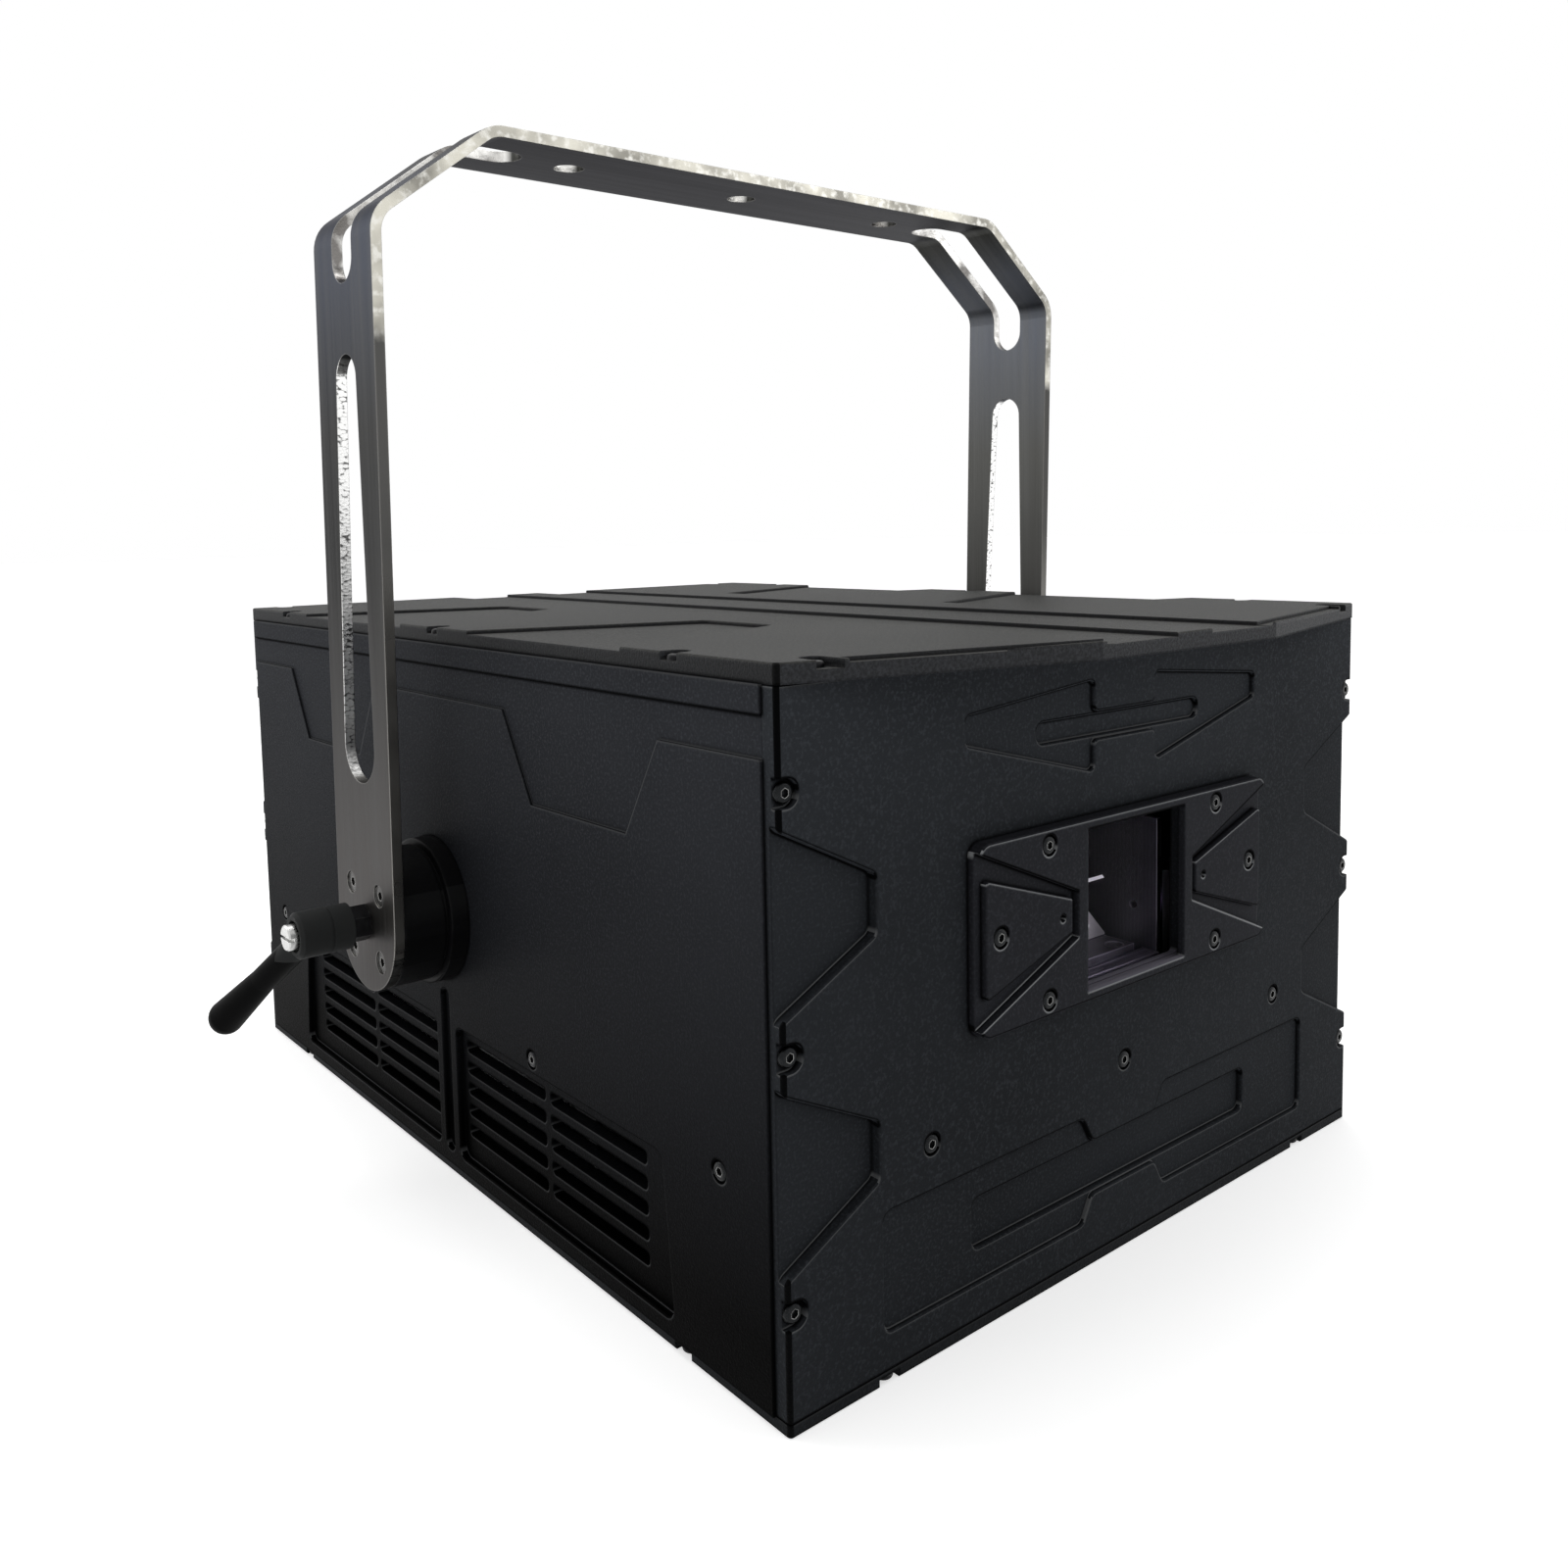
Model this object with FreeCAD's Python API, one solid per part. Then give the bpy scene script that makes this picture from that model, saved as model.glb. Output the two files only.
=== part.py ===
import FreeCAD, Part
import math
import os

# Laser show projector: a milled case that swings in a yoke, with clamp levers, rear sockets,
# lasers and scanner. Millimetres, +Z up. The front faces -Y and the left side faces -X.
# The origin is the middle of the underside of the base plate.

# Driving dimensions: case
CASE_W = 380.0
CASE_D = 514.0
CASE_H = 270.0
END_PLATE = 7.5
SIDE_PLATE = 8.0
COVER_PLATE = 7.5
BASE_PLATE = 5.0
EDGE_BREAK = 0.6
CASE_CORNER = 2.0
DECK_PLATE = 12.0
DECK_Z = 83.5

# Driving dimensions: screws and fits
SCREW_R = 2.0
HEAD_R = 3.8
HEAD_H = 2.2
HEAD_ROUND = 1.3
HEAD_CLEAR = 0.6
HOLE_CLEAR = 0.25
SOCKET_FLATS = 3.0
SOCKET_DEPTH = 1.2
SCREW_LENGTH = 14.0
SHORT_SCREW_LENGTH = 10.0
TIP_ROOM = 1.0
RUN_GAP = 0.3
FIT = 0.05

# Driving dimensions: places of the screws, mostly as insets from the edges of the case
EDGE_SCREW_PITCH = 91.0
EDGE_SEAT_CLEAR = 1.4
EDGE_SEAT_SINK = 1.0
EDGE_SEAT_REACH = 12.0
DECK_SCREW_INSET_X = 71.5
DECK_SCREW_NEAR_Y = 85.0
DECK_SCREW_INSET_Y = 28.5
COVER_SCREW_INSET_X = 20.0
COVER_SCREW_INSET_Y = 61.0
BASE_SCREW_INSET_X = 48.0
BASE_SCREW_INSET_Y = 63.0

# Driving dimensions: reliefs of the front and rear panels
EDGE_RECESS_LONG = 33.0
EDGE_RECESS_SHORT = 11.0
EDGE_RECESS_RUN = 44.5
EDGE_RECESS_DEPTH = 4.5
EDGE_RECESS_LIP = 5.0
UPPER_RELIEF_DROP = 39.5
UPPER_RELIEF_REACH = 98.5
UPPER_RELIEF_TIP_TOP = 11.9
UPPER_RELIEF_TIP_FOOT = 0.8
UPPER_RELIEF_BROAD = 19.0
UPPER_RELIEF_NECK_X = 21.0
UPPER_RELIEF_NECK_Z = 5.75
UPPER_RELIEF_DEPTH = 2.0
UPPER_RELIEF_CORNER = 2.75
UPPER_BAR_REACH = 55.5
UPPER_BAR_HALF = 4.4
UPPER_BAR_DEPTH = 4.0
BAR_FLAT = 0.22
LOWER_RELIEF_Z = 42.5
LOWER_RELIEF_REACH = 144.0
LOWER_RELIEF_HALF = 23.0
LOWER_RELIEF_WAIST = 11.5
LOWER_RELIEF_WAIST_X = 22.0
LOWER_RELIEF_SLOPE_X = 28.5
LOWER_RELIEF_DEPTH = 1.8
LOWER_BAR_REACH = 95.0
LOWER_BAR_HALF = 10.3
LOWER_BAR_DEPTH = 4.5
RELIEF_CORNER = 4.0
RIM_BREAK = 0.5

# Driving dimensions: aperture
APERTURE_RISE = 67.2
WINDOW = 67.5
FRAME_W = 197.0
FRAME_RAIL = 4.0
FRAME_PLATE = 6.5
FRAME_JAMB = 3.4
FRAME_CORNER = 6.0
FRAME_SCREW_X = 57.8
FRAME_SCREW_INSET = 6.55
BOW_RIM = 3.25
BOW_INNER = 9.5
BOW_RIB = 5.75
BOW_DEPTH = 3.5
WING_PLATE = 3.0
WING_EDGE_GAP = 4.0
WING_TIP_GAP = 3.5
WING_OUTER = 23.5
WING_INNER = 7.0
WING_CORNER = 1.5
WING_EDGE_BREAK = 0.3
WING_SCREW_INSET = 12.5
DOWEL_INSET = 6.0
DOWEL_R = 1.6
PANEL_WINDOW_MARGIN = 5.0
PANEL_WINDOW_HEAD = 2.0
PANEL_WINDOW_SILL = 0.8
PANEL_WINDOW_CORNER = 2.0
GLASS_LAP = 8.5
GLASS_PLATE = 3.0
GLASS_CLEAR = 0.5
SEAL_PLATE = 0.6
SEAL_WIDTH = 3.0

# Driving dimensions: side panels
FIELD_RISE = 1.2
FIELD_DROP = 33.0
DIP_DEPTH = 39.0
DIP_INSET = 120.5
DIP_TOP_HALF = 60.0
DIP_FLOOR_HALF = 37.0
RAIL_H = 10.5
VENT_NEAR = 10.5
VENT_INSET = 59.5
VENT_SLANT = 6.0
VENT_BOTTOM = 12.0
VENT_DROP = 6.5
VENT_DEPTH = 3.3
VENT_CORNER = 5.0
LOUVRE_START = 5.0
LOUVRE_END = 14.5
LOUVRE_WEB = 4.0
LOUVRE_HEIGHT = 6.0
LOUVRE_PITCH = 10.4
LOUVRE_DROP = 5.6
LOUVRE_ROWS = 5
LOUVRE_CORNER = 2.5
MIDDLE_RECESS_W = 8.5
MIDDLE_RECESS_RISE = 9.5
MIDDLE_RECESS_DEPTH = 2.5
MIDDLE_RECESS_CORNER = 3.8

# Driving dimensions: top cover
VISOR_REACH = 33.0
VISOR_HALF = 60.0
RIB_HALF = 12.0
CHANNEL_REACH = 53.0
CHANNEL_DEPTH = 1.7
LEDGE_INSET = 27.0
LEDGE_W = 5.0
LEDGE_DEPTH = 1.5
COVER_RECESS_Y = 100.0
COVER_RECESS_LONG = 64.0
COVER_RECESS_SHORT = 26.0
COVER_RECESS_RUN = 107.0
COVER_RECESS_DEPTH = 1.7
COVER_RECESS_CORNER = 6.0

# Driving dimensions: yoke and hubs
PIVOT_Y = 5.0
PIVOT_Z = 133.0
YOKE_LEAN = 1.5
YOKE_PLATE = 5.0
YOKE_W = 65.0
YOKE_RISE = 365.8
YOKE_SHOULDER_DROP = 44.9
YOKE_SHOULDER_INSET = 58.8
YOKE_BEND = 13.0
ARM_SLOT_DROP = 58.4
ARM_SLOT_RISE = 66.5
ARM_SLOT_TOP_R = 11.2
ARM_SLOT_BOTTOM_R = 17.0
BEND_SLOT_W = 22.0
BEND_SLOT_DROP = 26.9
BEND_SLOT_REACH = 31.2
HANG_HOLE_R = 7.5
HANG_HOLE_X = 109.0
HUB_LENGTH = 20.2
FLANGE_R = 35.0
FLANGE_PLATE = 10.3
FLANGE_LIP = 1.5
FLANGE_LIP_INSET = 4.0
FLANGE_SCREW_INSET = 11.0
ARM_SCREW = 15.75
ARM_SCREW_R = 2.5
ARM_SCREW_HEAD_R = 5.0
ARM_SCREW_HEAD = 2.7
ARM_SCREW_LENGTH = 16.0
ARM_SCREW_SINK = 0.8
ARM_SCREW_SOCKET = 4.0
ARM_SCREW_SOCKET_DEPTH = 2.0
ARM_BORE_CLEAR = 1.0
BOLT_R = 6.0
BOLT_HEAD_FLATS = 18.0
BOLT_HEAD = 7.5

# Driving dimensions: clamp levers
INSERT_FLATS = 15.0
INSERT_HEX = 8.7
INSERT_R = 8.0
INSERT_LENGTH = 16.0
INSERT_END = 4.0
HANDLE_WALL = 2.75
HANDLE_WEB = 2.0
HANDLE_POCKET = 7.0
HANDLE_POCKET_CLEAR = 1.4
HANDLE_END_BREAK = 1.5
HANDLE_SEAM = 10.0
HANDLE_SEAM_W = 0.8
HANDLE_SEAM_DEPTH = 0.5
HANDLE_ANGLE = -41.0
HANDLE_LENGTH = 84.0
HANDLE_RISE = 22.0
HANDLE_NECK_R = 6.2
HANDLE_TIP_R = 8.4
HANDLE_NECK_LENGTH = 43.3
LEVER_SCREW_HEAD_R = 6.0
LEVER_SCREW_HEAD = 11.0
LEVER_SCREW_R = 3.0
LEVER_SCREW_SLOT = 1.6
LEVER_SCREW_SLOT_DEPTH = 2.2

# Driving dimensions: scanner, with its heights above the deck
BEAM_RISE = 50.5
SCAN_SETBACK = 14.5
SCAN_DROP = 3.2
SCAN_MOUNT_H = 35.0
SCAN_MOUNT_RIGHT = 29.5
SCAN_MOUNT_AHEAD = 5.2
SCAN_MOUNT_SPARE = 10.0
SCAN_MOUNT_HOLE_R = 4.0
SCAN_MOUNT_HOLE_X = 7.5
SCAN_MOUNT_HOLE_Y = 5.2
SCAN_FLOOR = 3.0
BAFFLE_GAP = 6.5
BAFFLE_PLATE = 3.0
BAFFLE_SETBACK = 2.0
BAFFLE_LENGTH = 66.0
BAFFLE_H = 92.0
BAFFLE_HOLE_R = 1.8
WEDGE_PLATE = 3.0
WEDGE_SETBACK = 16.0
WEDGE_TIP_RISE = 1.3
WEDGE_RUN = 14.0
WEDGE_TOP_RISE = 15.8
GALVO_R = 10.0
GALVO_LENGTH = 46.0
GALVO_WALL = 2.5
GALVO_FACE = 22.0
SHAFT_R = 1.5
SHAFT_REACH = 9.0
SHAFT_GRIP = 6.0
SHAFT_TIP_R = 2.6
MIRROR_PLATE = 1.6
VERTICAL_MIRROR_LENGTH = 21.0
VERTICAL_MIRROR_W = 14.0
HORIZONTAL_MIRROR_LENGTH = 14.0
HORIZONTAL_MIRROR_W = 8.0

# Driving dimensions: lasers
LASER_COUNT = 3
LASER_SPACE = 5.0
LASER_W = 32.0
LASER_LENGTH = 150.0
LASER_H = 78.5
LASER_SETBACK = 6.0
LASER_FIN_PITCH = 9.0
LASER_FIN_W = 4.0
LASER_FIN_DEPTH = 22.0
LASER_FIN_START = 20.0
LASER_PORT_R = 4.0
LASER_PORT_DEPTH = 10.0
DICHROIC_R = 10.0
DICHROIC_PLATE = 2.0
DICHROIC_RIM = 1.5
DICHROIC_MOUNT_W = 26.0
DICHROIC_MOUNT_PLATE = 6.0
DICHROIC_MOUNT_H = 66.5
DICHROIC_GAP = 25.0

# Driving dimensions: power, control and fans
SUPPLY_W = 110.0
SUPPLY_D = 215.0
SUPPLY_H = 42.0
SUPPLY_X = 80.0
SUPPLY_SETBACK = 52.0
FAN_ROOM = 6.25
FAN_DEPTH = 15.0
FAN_WALL = 2.0
FAN_Y = 92.0
FAN_HUB_R = 11.0
FAN_HUB_DEPTH = 9.0
FAN_SPIDER = 2.5
FAN_STRUT = 4.0
FAN_AXLE_R = 1.5
FAN_AXLE_GRIP = 4.5
FAN_BLADES = 7
FAN_BLADE_GAP = 1.0
FAN_BLADE_W = 10.3
FAN_BLADE_PLATE = 1.4
FAN_BLADE_PITCH = 38.0
BOARD_PLATE = 1.6
BOARD_W = 130.0
BOARD_H = 76.0
BOARD_STAND = 6.0
BOARD_STAND_R = 3.0
BOARD_EDGE = 5.0
CHIP_X = 32.5
CHIP_W = 22.0
CHIP_H = 3.0

# Driving dimensions: rear panel fittings
SERVICE_INSET = 60.0
INLET_EAR = 10.5
INLET_LIP = 2.0
INLET_WALL = 2.25
INLET_FLANGE = 3.0
INLET_FLOOR = 6.0
INLET_MOUTH_W = 24.5
INLET_MOUTH_H = 16.5
INLET_MOUTH_DEPTH = 16.0
INLET_PIN_W = 4.0
INLET_PIN_H = 2.0
INLET_PIN_REACH = 11.0
INLET_PIN_X = 7.0
INLET_PIN_Z = 2.0
SWITCH_RISE = 22.5
SWITCH_W = 30.0
SWITCH_H = 23.0
SWITCH_RIM = 2.0
SWITCH_DEPTH = 18.0
SWITCH_WALL = 2.4
ROCKER_CLEAR = 1.3
ROCKER_DEPTH = 8.0
ROCKER_RISE = 3.5
ROCKER_TILT = 8.0
ROCKER_PIN_R = 1.5
KEY_RISE = 62.5
KEY_LIP = 3.0
KEY_FLANGE = 3.0
KEY_WALL = 3.0
KEY_FLOOR = 9.0
KEY_ROTOR_R = 6.0
KEY_ROTOR_DEPTH = 14.0
KEY_BOW_W = 20.0
KEY_BOW_LENGTH = 20.0
KEY_BOW_PLATE = 2.4
KEY_BOW_CORNER = 6.5
KEY_STEM_W = 8.0
KEY_STEM = 8.0
KEY_RING_R = 4.0
KEY_RING_RIM = 4.0
DATA_COUNT = 2
DATA_FIRST_X = -52.0
DATA_PITCH = 30.0
DATA_LIP = 2.0
DATA_EAR = 4.5
DATA_FLANGE = 2.0
DATA_WALL = 2.5
DATA_FLOOR = 7.0
DATA_BORE_R = 8.5
DATA_BORE_DEPTH = 15.0
DATA_PIN_R = 1.2
DATA_PIN_RING = 4.2
DATA_PIN_REACH = 10.0
DATA_PINS = 3
SHOW_X = 32.0
SHOW_PITCH = 22.0
SHOW_EAR = 7.0
SHOW_LIP = 2.0
SHOW_FLANGE = 1.5
SHOW_SHELL_W = 39.0
SHOW_SHELL_H = 8.4
SHOW_SHELL = 5.5
SHOW_WALL = 0.8
SHOW_BODY = 9.0
NETWORK_X = 90.0
NETWORK_EAR_X = 4.0
NETWORK_EAR_Z = 7.0
NETWORK_FLANGE = 2.0
NETWORK_WALL_X = 3.0
NETWORK_WALL_Z = 4.0
NETWORK_FLOOR = 8.0
NETWORK_MOUTH_W = 12.0
NETWORK_MOUTH_H = 9.0
NETWORK_MOUTH_DEPTH = 14.0
CONTROL_X = 60.0
DISPLAY_RISE = 86.5
DISPLAY_W = 70.0
DISPLAY_H = 30.0
DISPLAY_PLATE = 2.5
BUTTON_COUNT = 4
BUTTON_RISE = 52.5
BUTTON_PITCH = 24.0
BUTTON_R = 5.0
BUTTON_CLEAR = 0.08
BUTTON_PROUD = 2.6
BUTTON_LIP = 1.5
BUTTON_COLLAR = 1.5
EYE_DROP = 44.0
EYE_BASE_R = 10.0
EYE_BASE = 4.0
EYE_RING_R = 12.0
EYE_WIRE_R = 4.0
EYE_SHANK_R = 4.0

# Places and sizes worked out from the driving dimensions: case
HALF_W = CASE_W / 2
HALF_D = CASE_D / 2
COVER_Z = CASE_H - COVER_PLATE
INNER_X = HALF_W - SIDE_PLATE
INNER_Y = HALF_D - END_PLATE
SIDE_MID = HALF_W - SIDE_PLATE / 2
END_MID = HALF_D - END_PLATE / 2
DECK_TOP = DECK_Z + DECK_PLATE / 2
DECK_UNDERSIDE = DECK_Z - DECK_PLATE / 2
LOW_ROOM_Z = (BASE_PLATE + DECK_UNDERSIDE) / 2
DECK_SCREW_X = HALF_W - DECK_SCREW_INSET_X
DECK_SCREW_FAR_Y = INNER_Y - DECK_SCREW_INSET_Y
COVER_SCREW_X = HALF_W - COVER_SCREW_INSET_X
COVER_SCREW_Y = HALF_D - COVER_SCREW_INSET_Y
BASE_SCREW_X = HALF_W - BASE_SCREW_INSET_X
BASE_SCREW_Y = HALF_D - BASE_SCREW_INSET_Y
FIELD_X = HALF_W + FIELD_RISE
FIELD_TOP = CASE_H - FIELD_DROP
DIP_FLOOR_Z = FIELD_TOP - DIP_DEPTH
DIP_MIDDLE = INNER_Y - DIP_INSET
RAIL_Z = COVER_Z - RAIL_H
VENT_FAR = INNER_Y - VENT_INSET
VENT_TOP = DECK_Z - VENT_DROP
LOUVRE_NEAR = VENT_NEAR + LOUVRE_START
LOUVRE_LENGTH = (VENT_FAR - VENT_SLANT - LOUVRE_END - LOUVRE_NEAR - LOUVRE_WEB) / 2
LOUVRE_TOP = VENT_TOP - LOUVRE_DROP
MIDDLE_RECESS_TOP = DECK_Z + MIDDLE_RECESS_RISE
COVER_RECESS_X = HALF_W - COVER_RECESS_RUN
VISOR_Y = -HALF_D - VISOR_REACH
VISOR_SLOPE = VISOR_REACH / (HALF_W - VISOR_HALF)
LEDGE_X = HALF_W - LEDGE_INSET

# Worked out: aperture
APERTURE_Z = DECK_TOP + APERTURE_RISE
FRAME_H = WINDOW + 2 * FRAME_RAIL
FRAME_Y = -HALF_D - FRAME_PLATE
FRAME_SCREW_Z = FRAME_H / 2 - FRAME_SCREW_INSET
BOW_OUTER = FRAME_H / 2 - BOW_RIM
BOW_TIP_X = WINDOW / 2 + BOW_RIB
BOW_Y = FRAME_Y + BOW_DEPTH
WING_Y = BOW_Y - WING_PLATE
WING_TIP_X = BOW_TIP_X + WING_TIP_GAP
WING_SCREW_X = FRAME_W / 2 - WING_SCREW_INSET
DOWEL_X = WING_TIP_X + DOWEL_INSET
GLASS = WINDOW + 2 * GLASS_LAP
GLASS_Y = -INNER_Y - GLASS_PLATE

# Worked out: yoke, hubs and levers
FLANGE_X = FIELD_X + FLANGE_PLATE
FLANGE_SCREW_RING = FLANGE_R - FLANGE_SCREW_INSET
HUB_R = YOKE_W / 2
HUB_X = FLANGE_X + RUN_GAP
ARM_INNER_X = HUB_X + HUB_LENGTH
ARM_X = ARM_INNER_X + YOKE_PLATE
YOKE_TOP_Z = PIVOT_Z + YOKE_RISE
YOKE_FOOT_Z = PIVOT_Z - YOKE_W / 2
YOKE_SHOULDER_Z = YOKE_TOP_Z - YOKE_SHOULDER_DROP
YOKE_CROWN_X = ARM_X - YOKE_SHOULDER_INSET
ARM_SLOT_TOP = YOKE_SHOULDER_Z - ARM_SLOT_DROP
ARM_SLOT_BOTTOM = PIVOT_Z + ARM_SLOT_RISE
BEND_SLOT_Z = YOKE_SHOULDER_Z - BEND_SLOT_DROP
BEND_SLOT_X = YOKE_CROWN_X - BEND_SLOT_REACH
INSERT_X = ARM_X + RUN_GAP
HANDLE_X = INSERT_X + INSERT_HEX
INSERT_TIP_X = HANDLE_X + INSERT_LENGTH
BOLT_TIP_X = INSERT_TIP_X - INSERT_END - TIP_ROOM
HANDLE_SEAT_X = INSERT_TIP_X + HANDLE_WEB
HANDLE_TOP_X = HANDLE_SEAT_X + HANDLE_POCKET
HANDLE_HUB_R = INSERT_R + HANDLE_WALL
HANDLE_POCKET_R = LEVER_SCREW_HEAD_R + HANDLE_POCKET_CLEAR

# Worked out: scanner and lasers
BEAM_Z = DECK_TOP + BEAM_RISE
SCAN_Y = -INNER_Y + SCAN_SETBACK
SCAN_Z = APERTURE_Z - SCAN_DROP
SCAN_MOUNT_TOP = DECK_TOP + SCAN_MOUNT_H
SCAN_MOUNT_LEFT = -GALVO_FACE - GALVO_LENGTH - SCAN_MOUNT_SPARE
SCAN_MOUNT_FRONT = SCAN_Y - SCAN_MOUNT_AHEAD
SCAN_MOUNT_REAR = SCAN_Y + GALVO_FACE + GALVO_LENGTH
BAFFLE_X = SCAN_MOUNT_RIGHT + BAFFLE_GAP
BAFFLE_Y = -INNER_Y + BAFFLE_SETBACK
LASER_FRONT = SCAN_MOUNT_REAR + LASER_SETBACK
LASER_TOP = DECK_TOP + LASER_H
LASER_FIRST_X = SCAN_MOUNT_RIGHT + DICHROIC_GAP
LASER_PITCH = LASER_W + LASER_SPACE
DICHROIC_MOUNT_TOP = DECK_TOP + DICHROIC_MOUNT_H
DICHROIC_HOLE_R = DICHROIC_R - DICHROIC_RIM

# Worked out: fans and rear panel fittings
FAN_SIZE = DECK_UNDERSIDE - BASE_PLATE - 2 * FAN_ROOM
FAN_Z = LOW_ROOM_Z
SUPPLY_Y = INNER_Y - SUPPLY_SETBACK - SUPPLY_D / 2
SERVICE_X = -HALF_W + SERVICE_INSET
INLET_BODY_W = INLET_MOUTH_W + 2 * INLET_WALL
INLET_BODY_H = INLET_MOUTH_H + 2 * INLET_WALL
INLET_W = INLET_BODY_W + 2 * INLET_EAR
INLET_H = INLET_BODY_H + 2 * INLET_LIP
SWITCH_Z = DECK_TOP + SWITCH_RISE
KEY_Z = DECK_TOP + KEY_RISE
KEY_BARREL_R = KEY_ROTOR_R + KEY_WALL
KEY_FLANGE_R = KEY_BARREL_R + KEY_LIP
KEY_BARREL_DEPTH = KEY_ROTOR_DEPTH - KEY_FLANGE + KEY_FLOOR
DATA_SPOTS = [DATA_FIRST_X + DATA_PITCH * i for i in range(DATA_COUNT)]
DATA_R = DATA_BORE_R + DATA_WALL
DATA_W = 2 * (DATA_R + DATA_LIP)
DATA_H = 2 * (DATA_R + DATA_EAR)
DATA_DEPTH = DATA_BORE_DEPTH - DATA_FLANGE + DATA_FLOOR
SHOW_SPOTS = [LOW_ROOM_Z - SHOW_PITCH / 2, LOW_ROOM_Z + SHOW_PITCH / 2]
SHOW_W = SHOW_SHELL_W + 2 * SHOW_EAR
SHOW_H = SHOW_SHELL_H + 2 * SHOW_LIP
NETWORK_BODY_W = NETWORK_MOUTH_W + 2 * NETWORK_WALL_X
NETWORK_BODY_H = NETWORK_MOUTH_H + 2 * NETWORK_WALL_Z
NETWORK_W = NETWORK_BODY_W + 2 * NETWORK_EAR_X
NETWORK_H = NETWORK_BODY_H + 2 * NETWORK_EAR_Z
NETWORK_DEPTH = NETWORK_MOUTH_DEPTH - NETWORK_FLANGE + NETWORK_FLOOR
DISPLAY_Z = DECK_TOP + DISPLAY_RISE
BUTTON_Z = DECK_TOP + BUTTON_RISE
BUTTON_COLLAR_R = BUTTON_R + BUTTON_LIP
EYE_Z = CASE_H - EYE_DROP

# Directions and repeated places
OUT_FRONT = (0, -1, 0)
OUT_REAR = (0, 1, 0)
OUT_RIGHT = (1, 0, 0)
OUT_UP = (0, 0, 1)
OUT_DOWN = (0, 0, -1)
ROWS = [CASE_H / 2 + EDGE_SCREW_PITCH * row for row in (-1, 0, 1)]
HALVES = (-1, 1)


def vec(x, y, z):
    return FreeCAD.Vector(x, y, z)


def block(x0, x1, y0, y1, z0, z1):
    """Box between two opposite corners."""
    return Part.makeBox(x1 - x0, y1 - y0, z1 - z0, vec(x0, y0, z0))


def rod(start, way, radius, length):
    """Cylinder from a point along a direction."""
    return Part.makeCylinder(radius, length, vec(*start), vec(*way))


def on_plane(plane, u, v, w):
    """Point of a plane named by its two axes, at the height w along its third axis."""
    if plane == "xy":
        return vec(u, v, w)
    if plane == "xz":
        return vec(u, w, v)
    return vec(w, u, v)


def outline(points, plane, level, radius):
    """Closed wire through the points. A point's third number is its own corner radius."""
    arcs = []
    for i, point in enumerate(points):
        corner = vec(point[0], point[1], 0)
        before = vec(points[i - 1][0], points[i - 1][1], 0) - corner
        after_point = points[(i + 1) % len(points)]
        after = vec(after_point[0], after_point[1], 0) - corner
        own = point[2] if len(point) > 2 else radius
        half = before.getAngle(after) / 2
        before.normalize()
        after.normalize()
        middle = before + after
        middle.normalize()
        reach = own / math.tan(half)
        bulge = own / math.sin(half) - own
        spots = [corner + before * reach, corner + middle * bulge, corner + after * reach]
        arcs.append([on_plane(plane, spot.x, spot.y, level) for spot in spots])
    edges = []
    for i, arc in enumerate(arcs):
        edges.append(Part.makeLine(arcs[i - 1][2], arc[0]))
        if arc[0].distanceToPoint(arc[2]) > 1e-6:
            edges.append(Part.Arc(*arc).toShape())
    return Part.Wire(edges)


def prism(points, plane, low, high, radius=0.0):
    """Solid with a rounded outline in a plane, between two heights along the third axis."""
    face = Part.Face(outline(points, plane, low, radius))
    return face.extrude(on_plane(plane, 0, 0, high - low))


def sunk(points, plane, face, into, radius):
    """Recess below a face, as deep as the signed way into the plate, with a softened rim."""
    air = face - math.copysign(1, into)
    pocket = prism(points, plane, *sorted((face + into, air)), radius)
    soft = math.copysign(RIM_BREAK, into)
    inner = outline(points, plane, face + soft, radius)
    outer = outline(points, plane, face - soft, radius).makeOffset2D(2 * RIM_BREAK, 2)
    return [pocket, Part.makeLoft([inner, outer], True, True)]


def rectangle(u, v, half_u, half_v):
    corners = ((-1, -1), (1, -1), (1, 1), (-1, 1))
    return [(u + a * half_u, v + b * half_v) for a, b in corners]


def hexagon(flats, plane, u, v, low, high):
    """Hexagonal bar of a width across flats."""
    reach = flats / math.sqrt(3)
    angles = [math.radians(30 + 60 * i) for i in range(6)]
    points = [(u + reach * math.cos(a), v + reach * math.sin(a)) for a in angles]
    return prism(points, plane, low, high)


def mirrored(shape):
    """The same shape on the other side of the case."""
    return shape.mirror(vec(0, 0, 0), vec(1, 0, 0))


def on_side(shape, side):
    """A shape modelled on the right, moved to the left for side -1."""
    return shape if side > 0 else mirrored(shape)


def broken_edges(shape, axis, level, size=EDGE_BREAK):
    """Chamfer all the edges that lie at one level of an axis."""
    picked = []
    for edge in shape.Edges:
        heights = [getattr(vertex.Point, axis) for vertex in edge.Vertexes]
        if all(abs(height - level) < 1e-6 for height in heights):
            picked.append(edge)
    return shape.makeChamfer(size, picked)


def leaned(shape):
    """Turn a piece of the yoke about the pivot to the angle at which it stands."""
    turned = shape.copy()
    turned.rotate(vec(0, PIVOT_Y, PIVOT_Z), vec(1, 0, 0), YOKE_LEAN)
    return turned


def save(name, shape):
    shape.exportStep("parts/" + name + ".step")


# Screws: each place is the point under the head and the way that the head faces
def placed(shape, seat, out):
    copy = shape.copy()
    copy.Placement = FreeCAD.Placement(vec(*seat), FreeCAD.Rotation(vec(0, 0, 1), vec(*out)))
    return copy


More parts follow.
